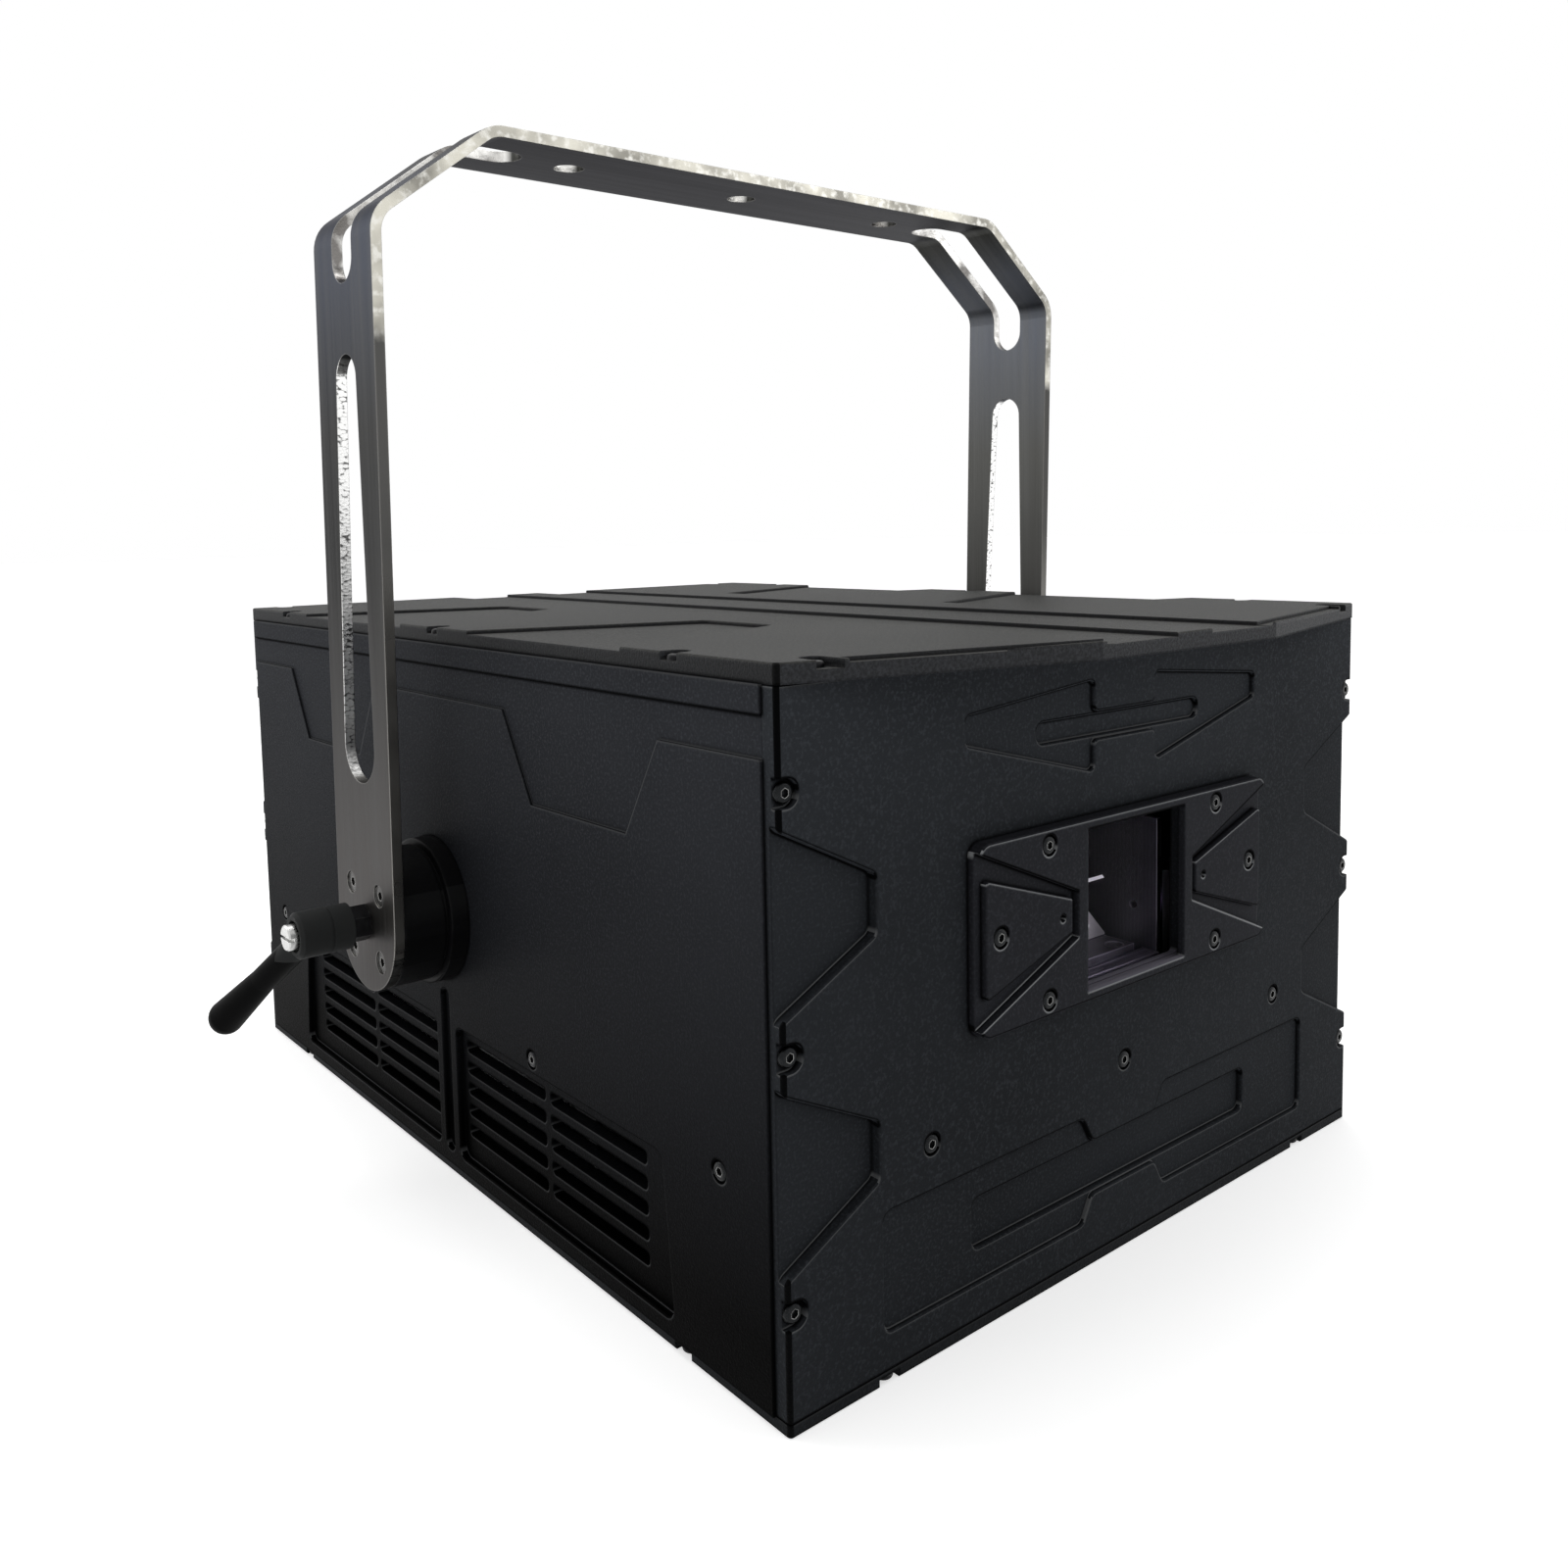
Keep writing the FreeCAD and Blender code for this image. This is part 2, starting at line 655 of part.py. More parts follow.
def button_screw(length):
    """Button head screw with a hexagon socket, head up, seat at zero."""
    head = Part.makeCylinder(HEAD_R, HEAD_H)
    rim = [edge for edge in head.Edges if len(edge.Vertexes) == 1 and abs(edge.Vertexes[0].Z - HEAD_H) < 1e-6]
    head = head.makeFillet(HEAD_ROUND, rim)
    shank = rod((0, 0, -length), (0, 0, 1), SCREW_R, length)
    socket = hexagon(SOCKET_FLATS, "xy", 0, 0, HEAD_H - SOCKET_DEPTH, HEAD_H + 1)
    return head.fuse(shank).cut(socket)


def screws(places, length=SCREW_LENGTH):
    screw = button_screw(length)
    return Part.makeCompound([placed(screw, seat, out) for seat, out in places])


def seat_holes(places, length=SCREW_LENGTH, clear=HEAD_CLEAR):
    """Sunk seats with clearance holes, for the plate under the heads."""
    sink = Part.makeCylinder(HEAD_R + clear, 2 * HEAD_H)
    hole = rod((0, 0, -length), (0, 0, 1), SCREW_R + HOLE_CLEAR, length)
    cutter = sink.fuse(hole)
    return [placed(cutter, seat, out) for seat, out in places]


def edge_way(seat, out):
    """Direction from an edge screw to the edge of its plate."""
    if out[2] == 0 or HALF_W - abs(seat[0]) < HALF_D - abs(seat[1]):
        return vec(math.copysign(1, seat[0]), 0, 0)
    return vec(0, math.copysign(1, seat[1]), 0)


def edge_seats(places):
    """Seats of edge screws: sunk deeper, wider, and open through the edge of the plate."""
    cuts = seat_holes(places, clear=EDGE_SEAT_CLEAR)
    wide = HEAD_R + EDGE_SEAT_CLEAR
    for seat, out in places:
        way = edge_way(seat, out)
        face = vec(*out)
        across = face.cross(way)
        low = vec(*seat) - across * wide
        high = vec(*seat) + across * wide + way * EDGE_SEAT_REACH + face * (2 * HEAD_H)
        cuts.append(block(*sorted((low.x, high.x)), *sorted((low.y, high.y)), *sorted((low.z, high.z))))
    return cuts


def thread_holes(places, length=SCREW_LENGTH):
    """Tapped holes, for the piece that the screws bite into."""
    deep = length + TIP_ROOM
    cutter = rod((0, 0, -deep), (0, 0, 1), SCREW_R, deep)
    return [placed(cutter, seat, out) for seat, out in places]


def end_edge_places(end):
    """Screws of the front (-1) or rear (1) panel into the side panels."""
    y = end * (HALF_D - HEAD_H - EDGE_SEAT_SINK)
    return [((half * SIDE_MID, y, z), (0, end, 0)) for half in HALVES for z in ROWS]


def end_deck_places(end):
    """Screws of the front (-1) or rear (1) panel into the deck."""
    y = end * (HALF_D - HEAD_H)
    return [((x, y, DECK_Z), (0, end, 0)) for x in (-DECK_SCREW_X, 0, DECK_SCREW_X)]


def side_deck_places(side):
    """Screws of one side panel into the deck."""
    x = side * (FIELD_X - HEAD_H)
    spots = [half * y for half in HALVES for y in (DECK_SCREW_NEAR_Y, DECK_SCREW_FAR_Y)]
    return [((x, y, DECK_Z), (side, 0, 0)) for y in spots]


def plate_places(z, out, x, spots):
    """Screws of the cover or base plate: at x along the ends, and at the spots along the sides."""
    ends = [((half * x, end * END_MID, z), out) for half in HALVES for end in HALVES]
    sides = [((half * SIDE_MID, y, z), out) for half in HALVES for y in spots]
    return ends + sides


FRONT_PLACES = end_edge_places(-1) + end_deck_places(-1)
REAR_PLACES = end_edge_places(1) + end_deck_places(1)
SIDE_PLACES = {side: side_deck_places(side) for side in HALVES}
EDGE_SEAT = HEAD_H + EDGE_SEAT_SINK
COVER_PLACES = plate_places(CASE_H - EDGE_SEAT, OUT_UP, COVER_SCREW_X, (-COVER_SCREW_Y, 0, COVER_SCREW_Y))
BASE_PLACES = plate_places(EDGE_SEAT, OUT_DOWN, BASE_SCREW_X, (-BASE_SCREW_Y, BASE_SCREW_Y))
FRAME_PLACES = [
    ((u * FRAME_SCREW_X, FRAME_Y + HEAD_H, APERTURE_Z + v * FRAME_SCREW_Z), OUT_FRONT)
    for u in HALVES
    for v in HALVES
]
WING_PLACES = {side: [((side * WING_SCREW_X, WING_Y + HEAD_H, APERTURE_Z), OUT_FRONT)] for side in HALVES}
APERTURE_PLACES = FRAME_PLACES + WING_PLACES[-1] + WING_PLACES[1]


def flange_places(side):
    """Screws from inside the case into the hub flange of one side."""
    places = []
    for quarter in range(4):
        angle = math.radians(45 + 90 * quarter)
        y = PIVOT_Y + FLANGE_SCREW_RING * math.cos(angle)
        z = PIVOT_Z + FLANGE_SCREW_RING * math.sin(angle)
        places.append(((side * INNER_X, y, z), (-side, 0, 0)))
    return places


# Case
def base_plate():
    plate = prism(rectangle(0, 0, HALF_W, HALF_D), "xy", 0, BASE_PLATE, CASE_CORNER)
    plate = broken_edges(plate, "z", 0)
    return plate.cut(edge_seats(BASE_PLACES))


def visor_edge(x):
    """Place of the cover's slanted front edge at a distance from the middle."""
    return -HALF_D - VISOR_SLOPE * (HALF_W - x)


def top_cover():
    """Cover with a visor over the front, two long channels beside a middle rib, and side recesses."""
    points = [(HALF_W, HALF_D, CASE_CORNER), (HALF_W, -HALF_D, CASE_CORNER), (VISOR_HALF, VISOR_Y, 0)]
    points += [(-x, y, radius) for x, y, radius in reversed(points)]
    plate = prism(points, "xy", COVER_Z, CASE_H)
    plate = broken_edges(plate, "z", CASE_H)
    cuts = edge_seats(COVER_PLACES)
    for half in HALVES:
        x0, x1 = sorted((half * RIB_HALF, half * CHANNEL_REACH))
        cuts.append(block(x0, x1, VISOR_Y - 1, HALF_D + 1, CASE_H - CHANNEL_DEPTH, CASE_H + 1))
        ledge = [
            (half * LEDGE_X, visor_edge(LEDGE_X) - 1),
            (half * CHANNEL_REACH, VISOR_Y - 1),
            (half * CHANNEL_REACH, VISOR_Y + LEDGE_W),
            (half * LEDGE_X, visor_edge(LEDGE_X) + LEDGE_W),
        ]
        cuts.append(prism(ledge, "xy", CASE_H - LEDGE_DEPTH, CASE_H + 1))
        for end in HALVES:
            middle = end * COVER_RECESS_Y
            recess = [
                (half * (HALF_W + 1), middle - COVER_RECESS_LONG, 0),
                (half * COVER_RECESS_X, middle - COVER_RECESS_SHORT),
                (half * COVER_RECESS_X, middle + COVER_RECESS_SHORT),
                (half * (HALF_W + 1), middle + COVER_RECESS_LONG, 0),
            ]
            cuts += sunk(recess, "xy", CASE_H, -COVER_RECESS_DEPTH, COVER_RECESS_CORNER)
    return plate.cut(cuts)


def end_plate(end):
    """Front (-1) or rear (1) plate. Its upper and lower rims are broken, also round the rounded corners."""
    inner, outer = end * INNER_Y, end * HALF_D
    points = [(HALF_W, inner), (HALF_W, outer, CASE_CORNER)]
    points += [(-HALF_W, outer, CASE_CORNER), (-HALF_W, inner)]
    plate = prism(points, "xy", BASE_PLATE, COVER_Z)
    rims = []
    for edge in plate.Edges:
        level = edge.BoundBox.ZLength < 1e-6
        straight = edge.BoundBox.YLength < 1e-6
        if level and straight and abs(edge.CenterOfMass.y - outer) < 1e-6:
            rims.append(edge)
    return plate.makeChamfer(EDGE_BREAK, rims)


def end_blank(end):
    """Front (-1) or rear (1) panel with its edge screws and edge recesses, before its own features."""
    plate = end_plate(end)
    cuts = edge_seats(end_edge_places(end)) + seat_holes(end_deck_places(end))
    cuts += thread_holes(COVER_PLACES) + thread_holes(BASE_PLACES)
    beside = HALF_W + 1
    for half in HALVES:
        for row in HALVES:
            middle = CASE_H / 2 + row * EDGE_SCREW_PITCH / 2
            short_x = half * (HALF_W - EDGE_RECESS_RUN)
            points = [
                (half * beside, middle - EDGE_RECESS_LONG - EDGE_RECESS_LIP, 0),
                (half * HALF_W, middle - EDGE_RECESS_LONG, EDGE_RECESS_LIP),
                (short_x, middle - EDGE_RECESS_SHORT),
                (short_x, middle + EDGE_RECESS_SHORT),
                (half * HALF_W, middle + EDGE_RECESS_LONG, EDGE_RECESS_LIP),
                (half * beside, middle + EDGE_RECESS_LONG + EDGE_RECESS_LIP, 0),
            ]
            cuts += sunk(points, "xz", end * HALF_D, -end * EDGE_RECESS_DEPTH, RELIEF_CORNER)
    return plate.cut(cuts)


def two_way(half, middle):
    """Closed outline from the points of the right half about a level, mirrored to the left."""
    right = [(x, middle + z) for x, z in half]
    left = [(-x, z) for x, z in reversed(right)]
    return right + left


def four_way(quarter, middle):
    """Closed outline from the points of one quarter, mirrored left and right, up and down."""
    lower = [(x, -z) for x, z in reversed(quarter)]
    return two_way(quarter + lower, middle)


def window_room():
    """Opening behind the thin jambs of the frame: wide at the sides, close to the frame at head and sill."""
    half = WINDOW / 2 + PANEL_WINDOW_MARGIN
    head = WINDOW / 2 + PANEL_WINDOW_HEAD
    sill = WINDOW / 2 + PANEL_WINDOW_SILL
    return rectangle(0, APERTURE_Z + (head - sill) / 2, half, (head + sill) / 2)


def front_panel():
    upper_z = CASE_H - UPPER_RELIEF_DROP
    upper = two_way([
        (UPPER_RELIEF_NECK_X, UPPER_RELIEF_NECK_Z),
        (UPPER_RELIEF_NECK_X, UPPER_RELIEF_BROAD),
        (UPPER_RELIEF_REACH, UPPER_RELIEF_TIP_TOP),
        (UPPER_RELIEF_REACH, UPPER_RELIEF_TIP_FOOT),
        (UPPER_RELIEF_NECK_X, -UPPER_RELIEF_BROAD),
        (UPPER_RELIEF_NECK_X, -UPPER_RELIEF_NECK_Z),
    ], upper_z)
    lower = four_way([
        (LOWER_RELIEF_WAIST_X, LOWER_RELIEF_WAIST),
        (LOWER_RELIEF_SLOPE_X, LOWER_RELIEF_HALF),
        (LOWER_RELIEF_REACH, LOWER_RELIEF_HALF),
    ], LOWER_RELIEF_Z)
    upper_bar = rectangle(0, upper_z, UPPER_BAR_REACH, UPPER_BAR_HALF)
    lower_bar = rectangle(0, LOWER_RELIEF_Z, LOWER_BAR_REACH, LOWER_BAR_HALF)
    rebate = GLASS / 2 + GLASS_CLEAR
    upper_floor = -HALF_D + UPPER_RELIEF_DEPTH
    lower_floor = -HALF_D + LOWER_RELIEF_DEPTH
    cuts = [
        prism(window_room(), "xz", -HALF_D - 1, -INNER_Y + 1, PANEL_WINDOW_CORNER),
        prism(rectangle(0, APERTURE_Z, rebate, rebate), "xz", GLASS_Y - SEAL_PLATE, -INNER_Y + 1),
    ]
    cuts += sunk(upper, "xz", -HALF_D, UPPER_RELIEF_DEPTH, UPPER_RELIEF_CORNER)
    upper_step = UPPER_BAR_DEPTH - UPPER_RELIEF_DEPTH
    cuts += sunk(upper_bar, "xz", upper_floor, upper_step, UPPER_BAR_HALF - BAR_FLAT)
    cuts += sunk(lower, "xz", -HALF_D, LOWER_RELIEF_DEPTH, RELIEF_CORNER)
    cuts += sunk(lower_bar, "xz", lower_floor, LOWER_BAR_DEPTH - LOWER_RELIEF_DEPTH, RELIEF_CORNER)
    cuts += thread_holes(APERTURE_PLACES, SHORT_SCREW_LENGTH)
    return end_blank(-1).cut(cuts)


def rear_panel():
    far = HALF_D + 1
    near = INNER_Y - 1
    cuts = [
        prism(rectangle(SERVICE_X, LOW_ROOM_Z, INLET_BODY_W / 2, INLET_BODY_H / 2), "xz", near, far),
        block(SERVICE_X - SWITCH_W / 2 + SWITCH_RIM, SERVICE_X + SWITCH_W / 2 - SWITCH_RIM, near, far,
              SWITCH_Z - SWITCH_H / 2 + SWITCH_RIM, SWITCH_Z + SWITCH_H / 2 - SWITCH_RIM),
        rod((SERVICE_X, near, KEY_Z), OUT_REAR, KEY_BARREL_R, far - near),
        prism(rectangle(NETWORK_X, LOW_ROOM_Z, NETWORK_BODY_W / 2, NETWORK_BODY_H / 2), "xz", near, far),
        prism(rectangle(CONTROL_X, DISPLAY_Z, DISPLAY_W / 2, DISPLAY_H / 2), "xz",
              HALF_D - DISPLAY_PLATE, far),
        rod((0, near, EYE_Z), OUT_REAR, EYE_SHANK_R, far - near),
    ]
    for x in DATA_SPOTS:
        cuts.append(rod((x, near, LOW_ROOM_Z), OUT_REAR, DATA_R, far - near))
    for z in SHOW_SPOTS:
        cuts.append(prism(rectangle(SHOW_X, z, SHOW_SHELL_W / 2, SHOW_SHELL_H / 2), "xz", near, far))
    for x in button_spots():
        cuts.append(rod((x, near, BUTTON_Z), OUT_REAR, BUTTON_R + BUTTON_CLEAR, far - near))
    return end_blank(1).cut(cuts)


def field_outline():
    """Raised field of a side panel in y and z, with two dips in its upper edge."""
    points = [(-INNER_Y, BASE_PLATE), (INNER_Y, BASE_PLATE), (INNER_Y, FIELD_TOP)]
    for middle in (DIP_MIDDLE, -DIP_MIDDLE):
        points += [
            (middle + DIP_TOP_HALF, FIELD_TOP),
            (middle + DIP_FLOOR_HALF, DIP_FLOOR_Z),
            (middle - DIP_FLOOR_HALF, DIP_FLOOR_Z),
            (middle - DIP_TOP_HALF, FIELD_TOP),
        ]
    return points + [(-INNER_Y, FIELD_TOP)]


def vent_cuts():
    """Louvred pockets of the right side panel: two pockets, each with two columns of slots."""
    cuts = []
    for end in HALVES:
        pocket = [
            (end * VENT_NEAR, VENT_BOTTOM),
            (end * VENT_FAR, VENT_BOTTOM),
            (end * (VENT_FAR - VENT_SLANT), VENT_TOP),
            (end * VENT_NEAR, VENT_TOP),
        ]
        cuts += sunk(pocket, "yz", FIELD_X, -VENT_DEPTH, VENT_CORNER)
        for column in range(2):
            start = LOUVRE_NEAR + column * (LOUVRE_LENGTH + LOUVRE_WEB)
            middle = end * (start + LOUVRE_LENGTH / 2)
            for row in range(LOUVRE_ROWS):
                z = LOUVRE_TOP - row * LOUVRE_PITCH - LOUVRE_HEIGHT / 2
                slot = rectangle(middle, z, LOUVRE_LENGTH / 2, LOUVRE_HEIGHT / 2)
                cuts.append(prism(slot, "yz", INNER_X - 1, FIELD_X, LOUVRE_CORNER))
    middle_z = (VENT_BOTTOM + MIDDLE_RECESS_TOP) / 2
    recess = rectangle(0, middle_z, MIDDLE_RECESS_W / 2, MIDDLE_RECESS_TOP - middle_z)
    return cuts + sunk(recess, "yz", FIELD_X, -MIDDLE_RECESS_DEPTH, MIDDLE_RECESS_CORNER)


def side_panel(side):
    plate = block(INNER_X, HALF_W, -INNER_Y, INNER_Y, BASE_PLATE, COVER_Z)
    field = prism(field_outline(), "yz", HALF_W, FIELD_X)
    rail = block(HALF_W, FIELD_X, -INNER_Y, INNER_Y, RAIL_Z, COVER_Z)
    cuts = vent_cuts() + seat_holes(SIDE_PLACES[1])
    cuts += thread_holes(FRONT_PLACES + REAR_PLACES + COVER_PLACES + BASE_PLACES)
    reach = FIELD_X - INNER_X + 2
    cuts += [rod((seat[0] - 1, seat[1], seat[2]), OUT_RIGHT, SCREW_R + HOLE_CLEAR, reach)
             for seat, out in flange_places(1)]
    cuts.append(rod((INNER_X - 1, PIVOT_Y, PIVOT_Z), OUT_RIGHT, BOLT_R + FIT, reach))
    return on_side(plate.fuse([field, rail]).cut(cuts), side)


def optical_deck():
    plate = block(-INNER_X, INNER_X, -INNER_Y, INNER_Y, DECK_Z - DECK_PLATE / 2, DECK_TOP)
    places = FRONT_PLACES + REAR_PLACES + SIDE_PLACES[-1] + SIDE_PLACES[1]
    return plate.cut(thread_holes(places))


# Aperture
def bow_outline(side, outer_x, outer_half, tip_x, tip_half):
    return [
        (side * outer_x, APERTURE_Z - outer_half),
        (side * tip_x, APERTURE_Z - tip_half),
        (side * tip_x, APERTURE_Z + tip_half),
        (side * outer_x, APERTURE_Z + outer_half),
    ]


def aperture_frame():
    plate = prism(rectangle(0, APERTURE_Z, FRAME_W / 2, FRAME_H / 2), "xz", FRAME_Y, -HALF_D, FRAME_CORNER)
    plate = broken_edges(plate, "y", FRAME_Y)
    cuts = [
        prism(rectangle(0, APERTURE_Z, WINDOW / 2, WINDOW / 2), "xz", FRAME_Y - 1, -HALF_D + 1),
        prism(window_room(), "xz", FRAME_Y + FRAME_JAMB, -HALF_D + 1),
    ]
    slope = (BOW_OUTER - BOW_INNER) / (FRAME_W / 2 - BOW_TIP_X)
    for side in HALVES:
        bow = bow_outline(side, FRAME_W / 2 + 1, BOW_OUTER + slope, BOW_TIP_X, BOW_INNER)
        cuts.append(prism(bow, "xz", FRAME_Y - 1, BOW_Y))
        cuts += seat_holes(WING_PLACES[side], SHORT_SCREW_LENGTH)
    cuts += seat_holes(FRAME_PLACES, SHORT_SCREW_LENGTH)
    return plate.cut(cuts)


def wing_plate(side):
    bow = bow_outline(side, FRAME_W / 2 - WING_EDGE_GAP, WING_OUTER, WING_TIP_X, WING_INNER)
    plate = prism(bow, "xz", WING_Y, BOW_Y, WING_CORNER)
    plate = broken_edges(plate, "y", WING_Y, WING_EDGE_BREAK)
    dowel = rod((side * DOWEL_X, WING_Y - 1, APERTURE_Z), OUT_REAR, DOWEL_R, WING_PLATE + 2)
    return plate.cut(seat_holes(WING_PLACES[side], SHORT_SCREW_LENGTH) + [dowel])


def window_glass():
    return prism(rectangle(0, APERTURE_Z, GLASS / 2, GLASS / 2), "xz", GLASS_Y, -INNER_Y)


def window_seal():
    inner = GLASS / 2 - SEAL_WIDTH
    ring = prism(rectangle(0, APERTURE_Z, GLASS / 2, GLASS / 2), "xz", GLASS_Y - SEAL_PLATE, GLASS_Y)
    return ring.cut(prism(rectangle(0, APERTURE_Z, inner, inner), "xz", GLASS_Y - 1, GLASS_Y + 1))


# Yoke and hubs, modelled upright and leaned at the end
def strap_outline():
    """Section of the bent strap in x and z, with each bend's own radius."""
    shoulder = (ARM_X, YOKE_SHOULDER_Z)
    crown = (YOKE_CROWN_X, YOKE_TOP_Z)
    slope = math.atan2(crown[1] - shoulder[1], shoulder[0] - crown[0])
    low_turn = YOKE_PLATE * math.tan((math.pi / 2 - slope) / 2)
    high_turn = YOKE_PLATE * math.tan(slope / 2)
    outer_bend = YOKE_BEND + YOKE_PLATE
    right_outer = [(ARM_X, YOKE_FOOT_Z, 0), (*shoulder, outer_bend), (*crown, outer_bend)]
    right_inner = [
        (crown[0] - high_turn, crown[1] - YOKE_PLATE, YOKE_BEND),
        (ARM_INNER_X, shoulder[1] - low_turn, YOKE_BEND),
        (ARM_INNER_X, YOKE_FOOT_Z, 0),
    ]
    left_outer = [(-x, z, bend) for x, z, bend in reversed(right_outer)]
    left_inner = [(-x, z, bend) for x, z, bend in reversed(right_inner)]
    return right_outer + left_outer + left_inner + right_inner


def arm_slot_cuts():
    """Tapered slot through both arms: two round ends and the taper tangent to them."""
    top_z = ARM_SLOT_TOP - ARM_SLOT_TOP_R
    bottom_z = ARM_SLOT_BOTTOM + ARM_SLOT_BOTTOM_R
    lean = math.asin((ARM_SLOT_BOTTOM_R - ARM_SLOT_TOP_R) / (top_z - bottom_z))
    ends = [(top_z, ARM_SLOT_TOP_R), (bottom_z, ARM_SLOT_BOTTOM_R)]
    touch = [(radius * math.cos(lean), z + radius * math.sin(lean)) for z, radius in ends]
    taper = [
        (PIVOT_Y - touch[0][0], touch[0][1]),
        (PIVOT_Y + touch[0][0], touch[0][1]),
        (PIVOT_Y + touch[1][0], touch[1][1]),
        (PIVOT_Y - touch[1][0], touch[1][1]),
    ]
    cuts = [prism(taper, "yz", -ARM_X - 1, ARM_X + 1)]
    for z, radius in ends:
        cuts.append(rod((-ARM_X - 1, PIVOT_Y, z), OUT_RIGHT, radius, 2 * ARM_X + 2))
    return cuts


def bend_slot_cuts():
    """Slots that run from the arms over both bends to the top of the strap."""
    radius = BEND_SLOT_W / 2
    low_z = BEND_SLOT_Z + radius
    near_x = BEND_SLOT_X + radius
    across = rod((-ARM_X - 1, PIVOT_Y, low_z), OUT_RIGHT, radius, 2 * ARM_X + 2)
    cuts = [across]
    under_z = YOKE_TOP_Z - YOKE_PLATE - 1
    for side in HALVES:
        x0, x1 = sorted((side * near_x, side * (ARM_X + 1)))
        cuts.append(block(x0, x1, PIVOT_Y - radius, PIVOT_Y + radius, low_z, YOKE_TOP_Z + 1))
        cuts.append(rod((side * near_x, PIVOT_Y, under_z), OUT_UP, radius, YOKE_PLATE + 2))
    return cuts


def arm_screw_places():
    """Countersunk screws that hold the hubs to the arms, before the yoke is leaned."""
    places = []
    for side in HALVES:
        for u in HALVES:
            for v in HALVES:
                spot = (side * (ARM_X - ARM_SCREW_SINK), PIVOT_Y + u * ARM_SCREW, PIVOT_Z + v * ARM_SCREW)
                places.append((spot, (side, 0, 0)))
    return places


def countersunk_body(clear, length):
    """Cone head with its face at zero and a shank below it."""
    head_r = ARM_SCREW_HEAD_R + clear
    shank_r = ARM_SCREW_R + clear
    head = Part.makeCone(shank_r, head_r, ARM_SCREW_HEAD, vec(0, 0, -ARM_SCREW_HEAD))
    return head.fuse(rod((0, 0, -length), (0, 0, 1), shank_r, length))


def yoke():
    edge = PIVOT_Y - YOKE_W / 2
    strap = prism(strap_outline(), "xz", edge, edge + YOKE_W)
    corner = block(-ARM_X - 1, ARM_X + 1, edge - 1, edge + YOKE_W + 1, YOKE_FOOT_Z - 1, PIVOT_Z)
    corner = corner.cut(rod((-ARM_X - 2, PIVOT_Y, PIVOT_Z), OUT_RIGHT, YOKE_W / 2, 2 * ARM_X + 4))
    cuts = [corner] + arm_slot_cuts() + bend_slot_cuts()
    cuts.append(rod((-ARM_X - 1, PIVOT_Y, PIVOT_Z), OUT_RIGHT, BOLT_R + ARM_BORE_CLEAR, 2 * ARM_X + 2))
    for x in (-HANG_HOLE_X, 0, HANG_HOLE_X):
        cuts.append(rod((x, PIVOT_Y, YOKE_TOP_Z - YOKE_PLATE - 1), OUT_UP, HANG_HOLE_R, YOKE_PLATE + 2))
    sink = rod((0, 0, 0), OUT_UP, ARM_SCREW_HEAD_R + HOLE_CLEAR, 2 * ARM_SCREW_SINK)
    cutter = countersunk_body(HOLE_CLEAR, ARM_SCREW_LENGTH).fuse(sink)
    cuts += [placed(cutter, seat, out) for seat, out in arm_screw_places()]
    return leaned(strap.cut(cuts))


def yoke_hub_screws():
    socket = hexagon(ARM_SCREW_SOCKET, "xy", 0, 0, -ARM_SCREW_SOCKET_DEPTH, 1)
    screw = countersunk_body(0, ARM_SCREW_LENGTH).cut(socket)
    return leaned(Part.makeCompound([placed(screw, seat, out) for seat, out in arm_screw_places()]))


def yoke_hub(side):
    hub = rod((HUB_X, PIVOT_Y, PIVOT_Z), OUT_RIGHT, HUB_R, HUB_LENGTH)
    bore = rod((HUB_X - 1, PIVOT_Y, PIVOT_Z), OUT_RIGHT, BOLT_R + FIT, HUB_LENGTH + 2)
    deep = ARM_SCREW_LENGTH + TIP_ROOM
    tap = rod((0, 0, -deep), (0, 0, 1), ARM_SCREW_R, deep)
    taps = [placed(tap, seat, out) for seat, out in arm_screw_places()]
    return leaned(on_side(hub.cut([bore] + taps), side))


def hub_flange(side):
    """Flange on the case side, with a narrower friction lip that faces the hub."""
    disc = rod((FIELD_X, PIVOT_Y, PIVOT_Z), OUT_RIGHT, FLANGE_R, FLANGE_PLATE - FLANGE_LIP)
    lip = rod((FLANGE_X - FLANGE_LIP, PIVOT_Y, PIVOT_Z), OUT_RIGHT, FLANGE_R - FLANGE_LIP_INSET, FLANGE_LIP)
    bore = rod((FIELD_X - 1, PIVOT_Y, PIVOT_Z), OUT_RIGHT, BOLT_R + FIT, FLANGE_PLATE + 2)
    return on_side(disc.fuse(lip).cut([bore] + thread_holes(flange_places(1))), side)


def pivot_bolts():
    """Hexagon bolts from inside the case, through flange, hub and arm, into the lever inserts."""
    head = hexagon(BOLT_HEAD_FLATS, "yz", PIVOT_Y, PIVOT_Z, INNER_X - BOLT_HEAD, INNER_X)
    shank = rod((INNER_X, PIVOT_Y, PIVOT_Z), OUT_RIGHT, BOLT_R, BOLT_TIP_X - INNER_X)
    bolt = head.fuse(shank)
    return Part.makeCompound([on_side(bolt, side) for side in HALVES])


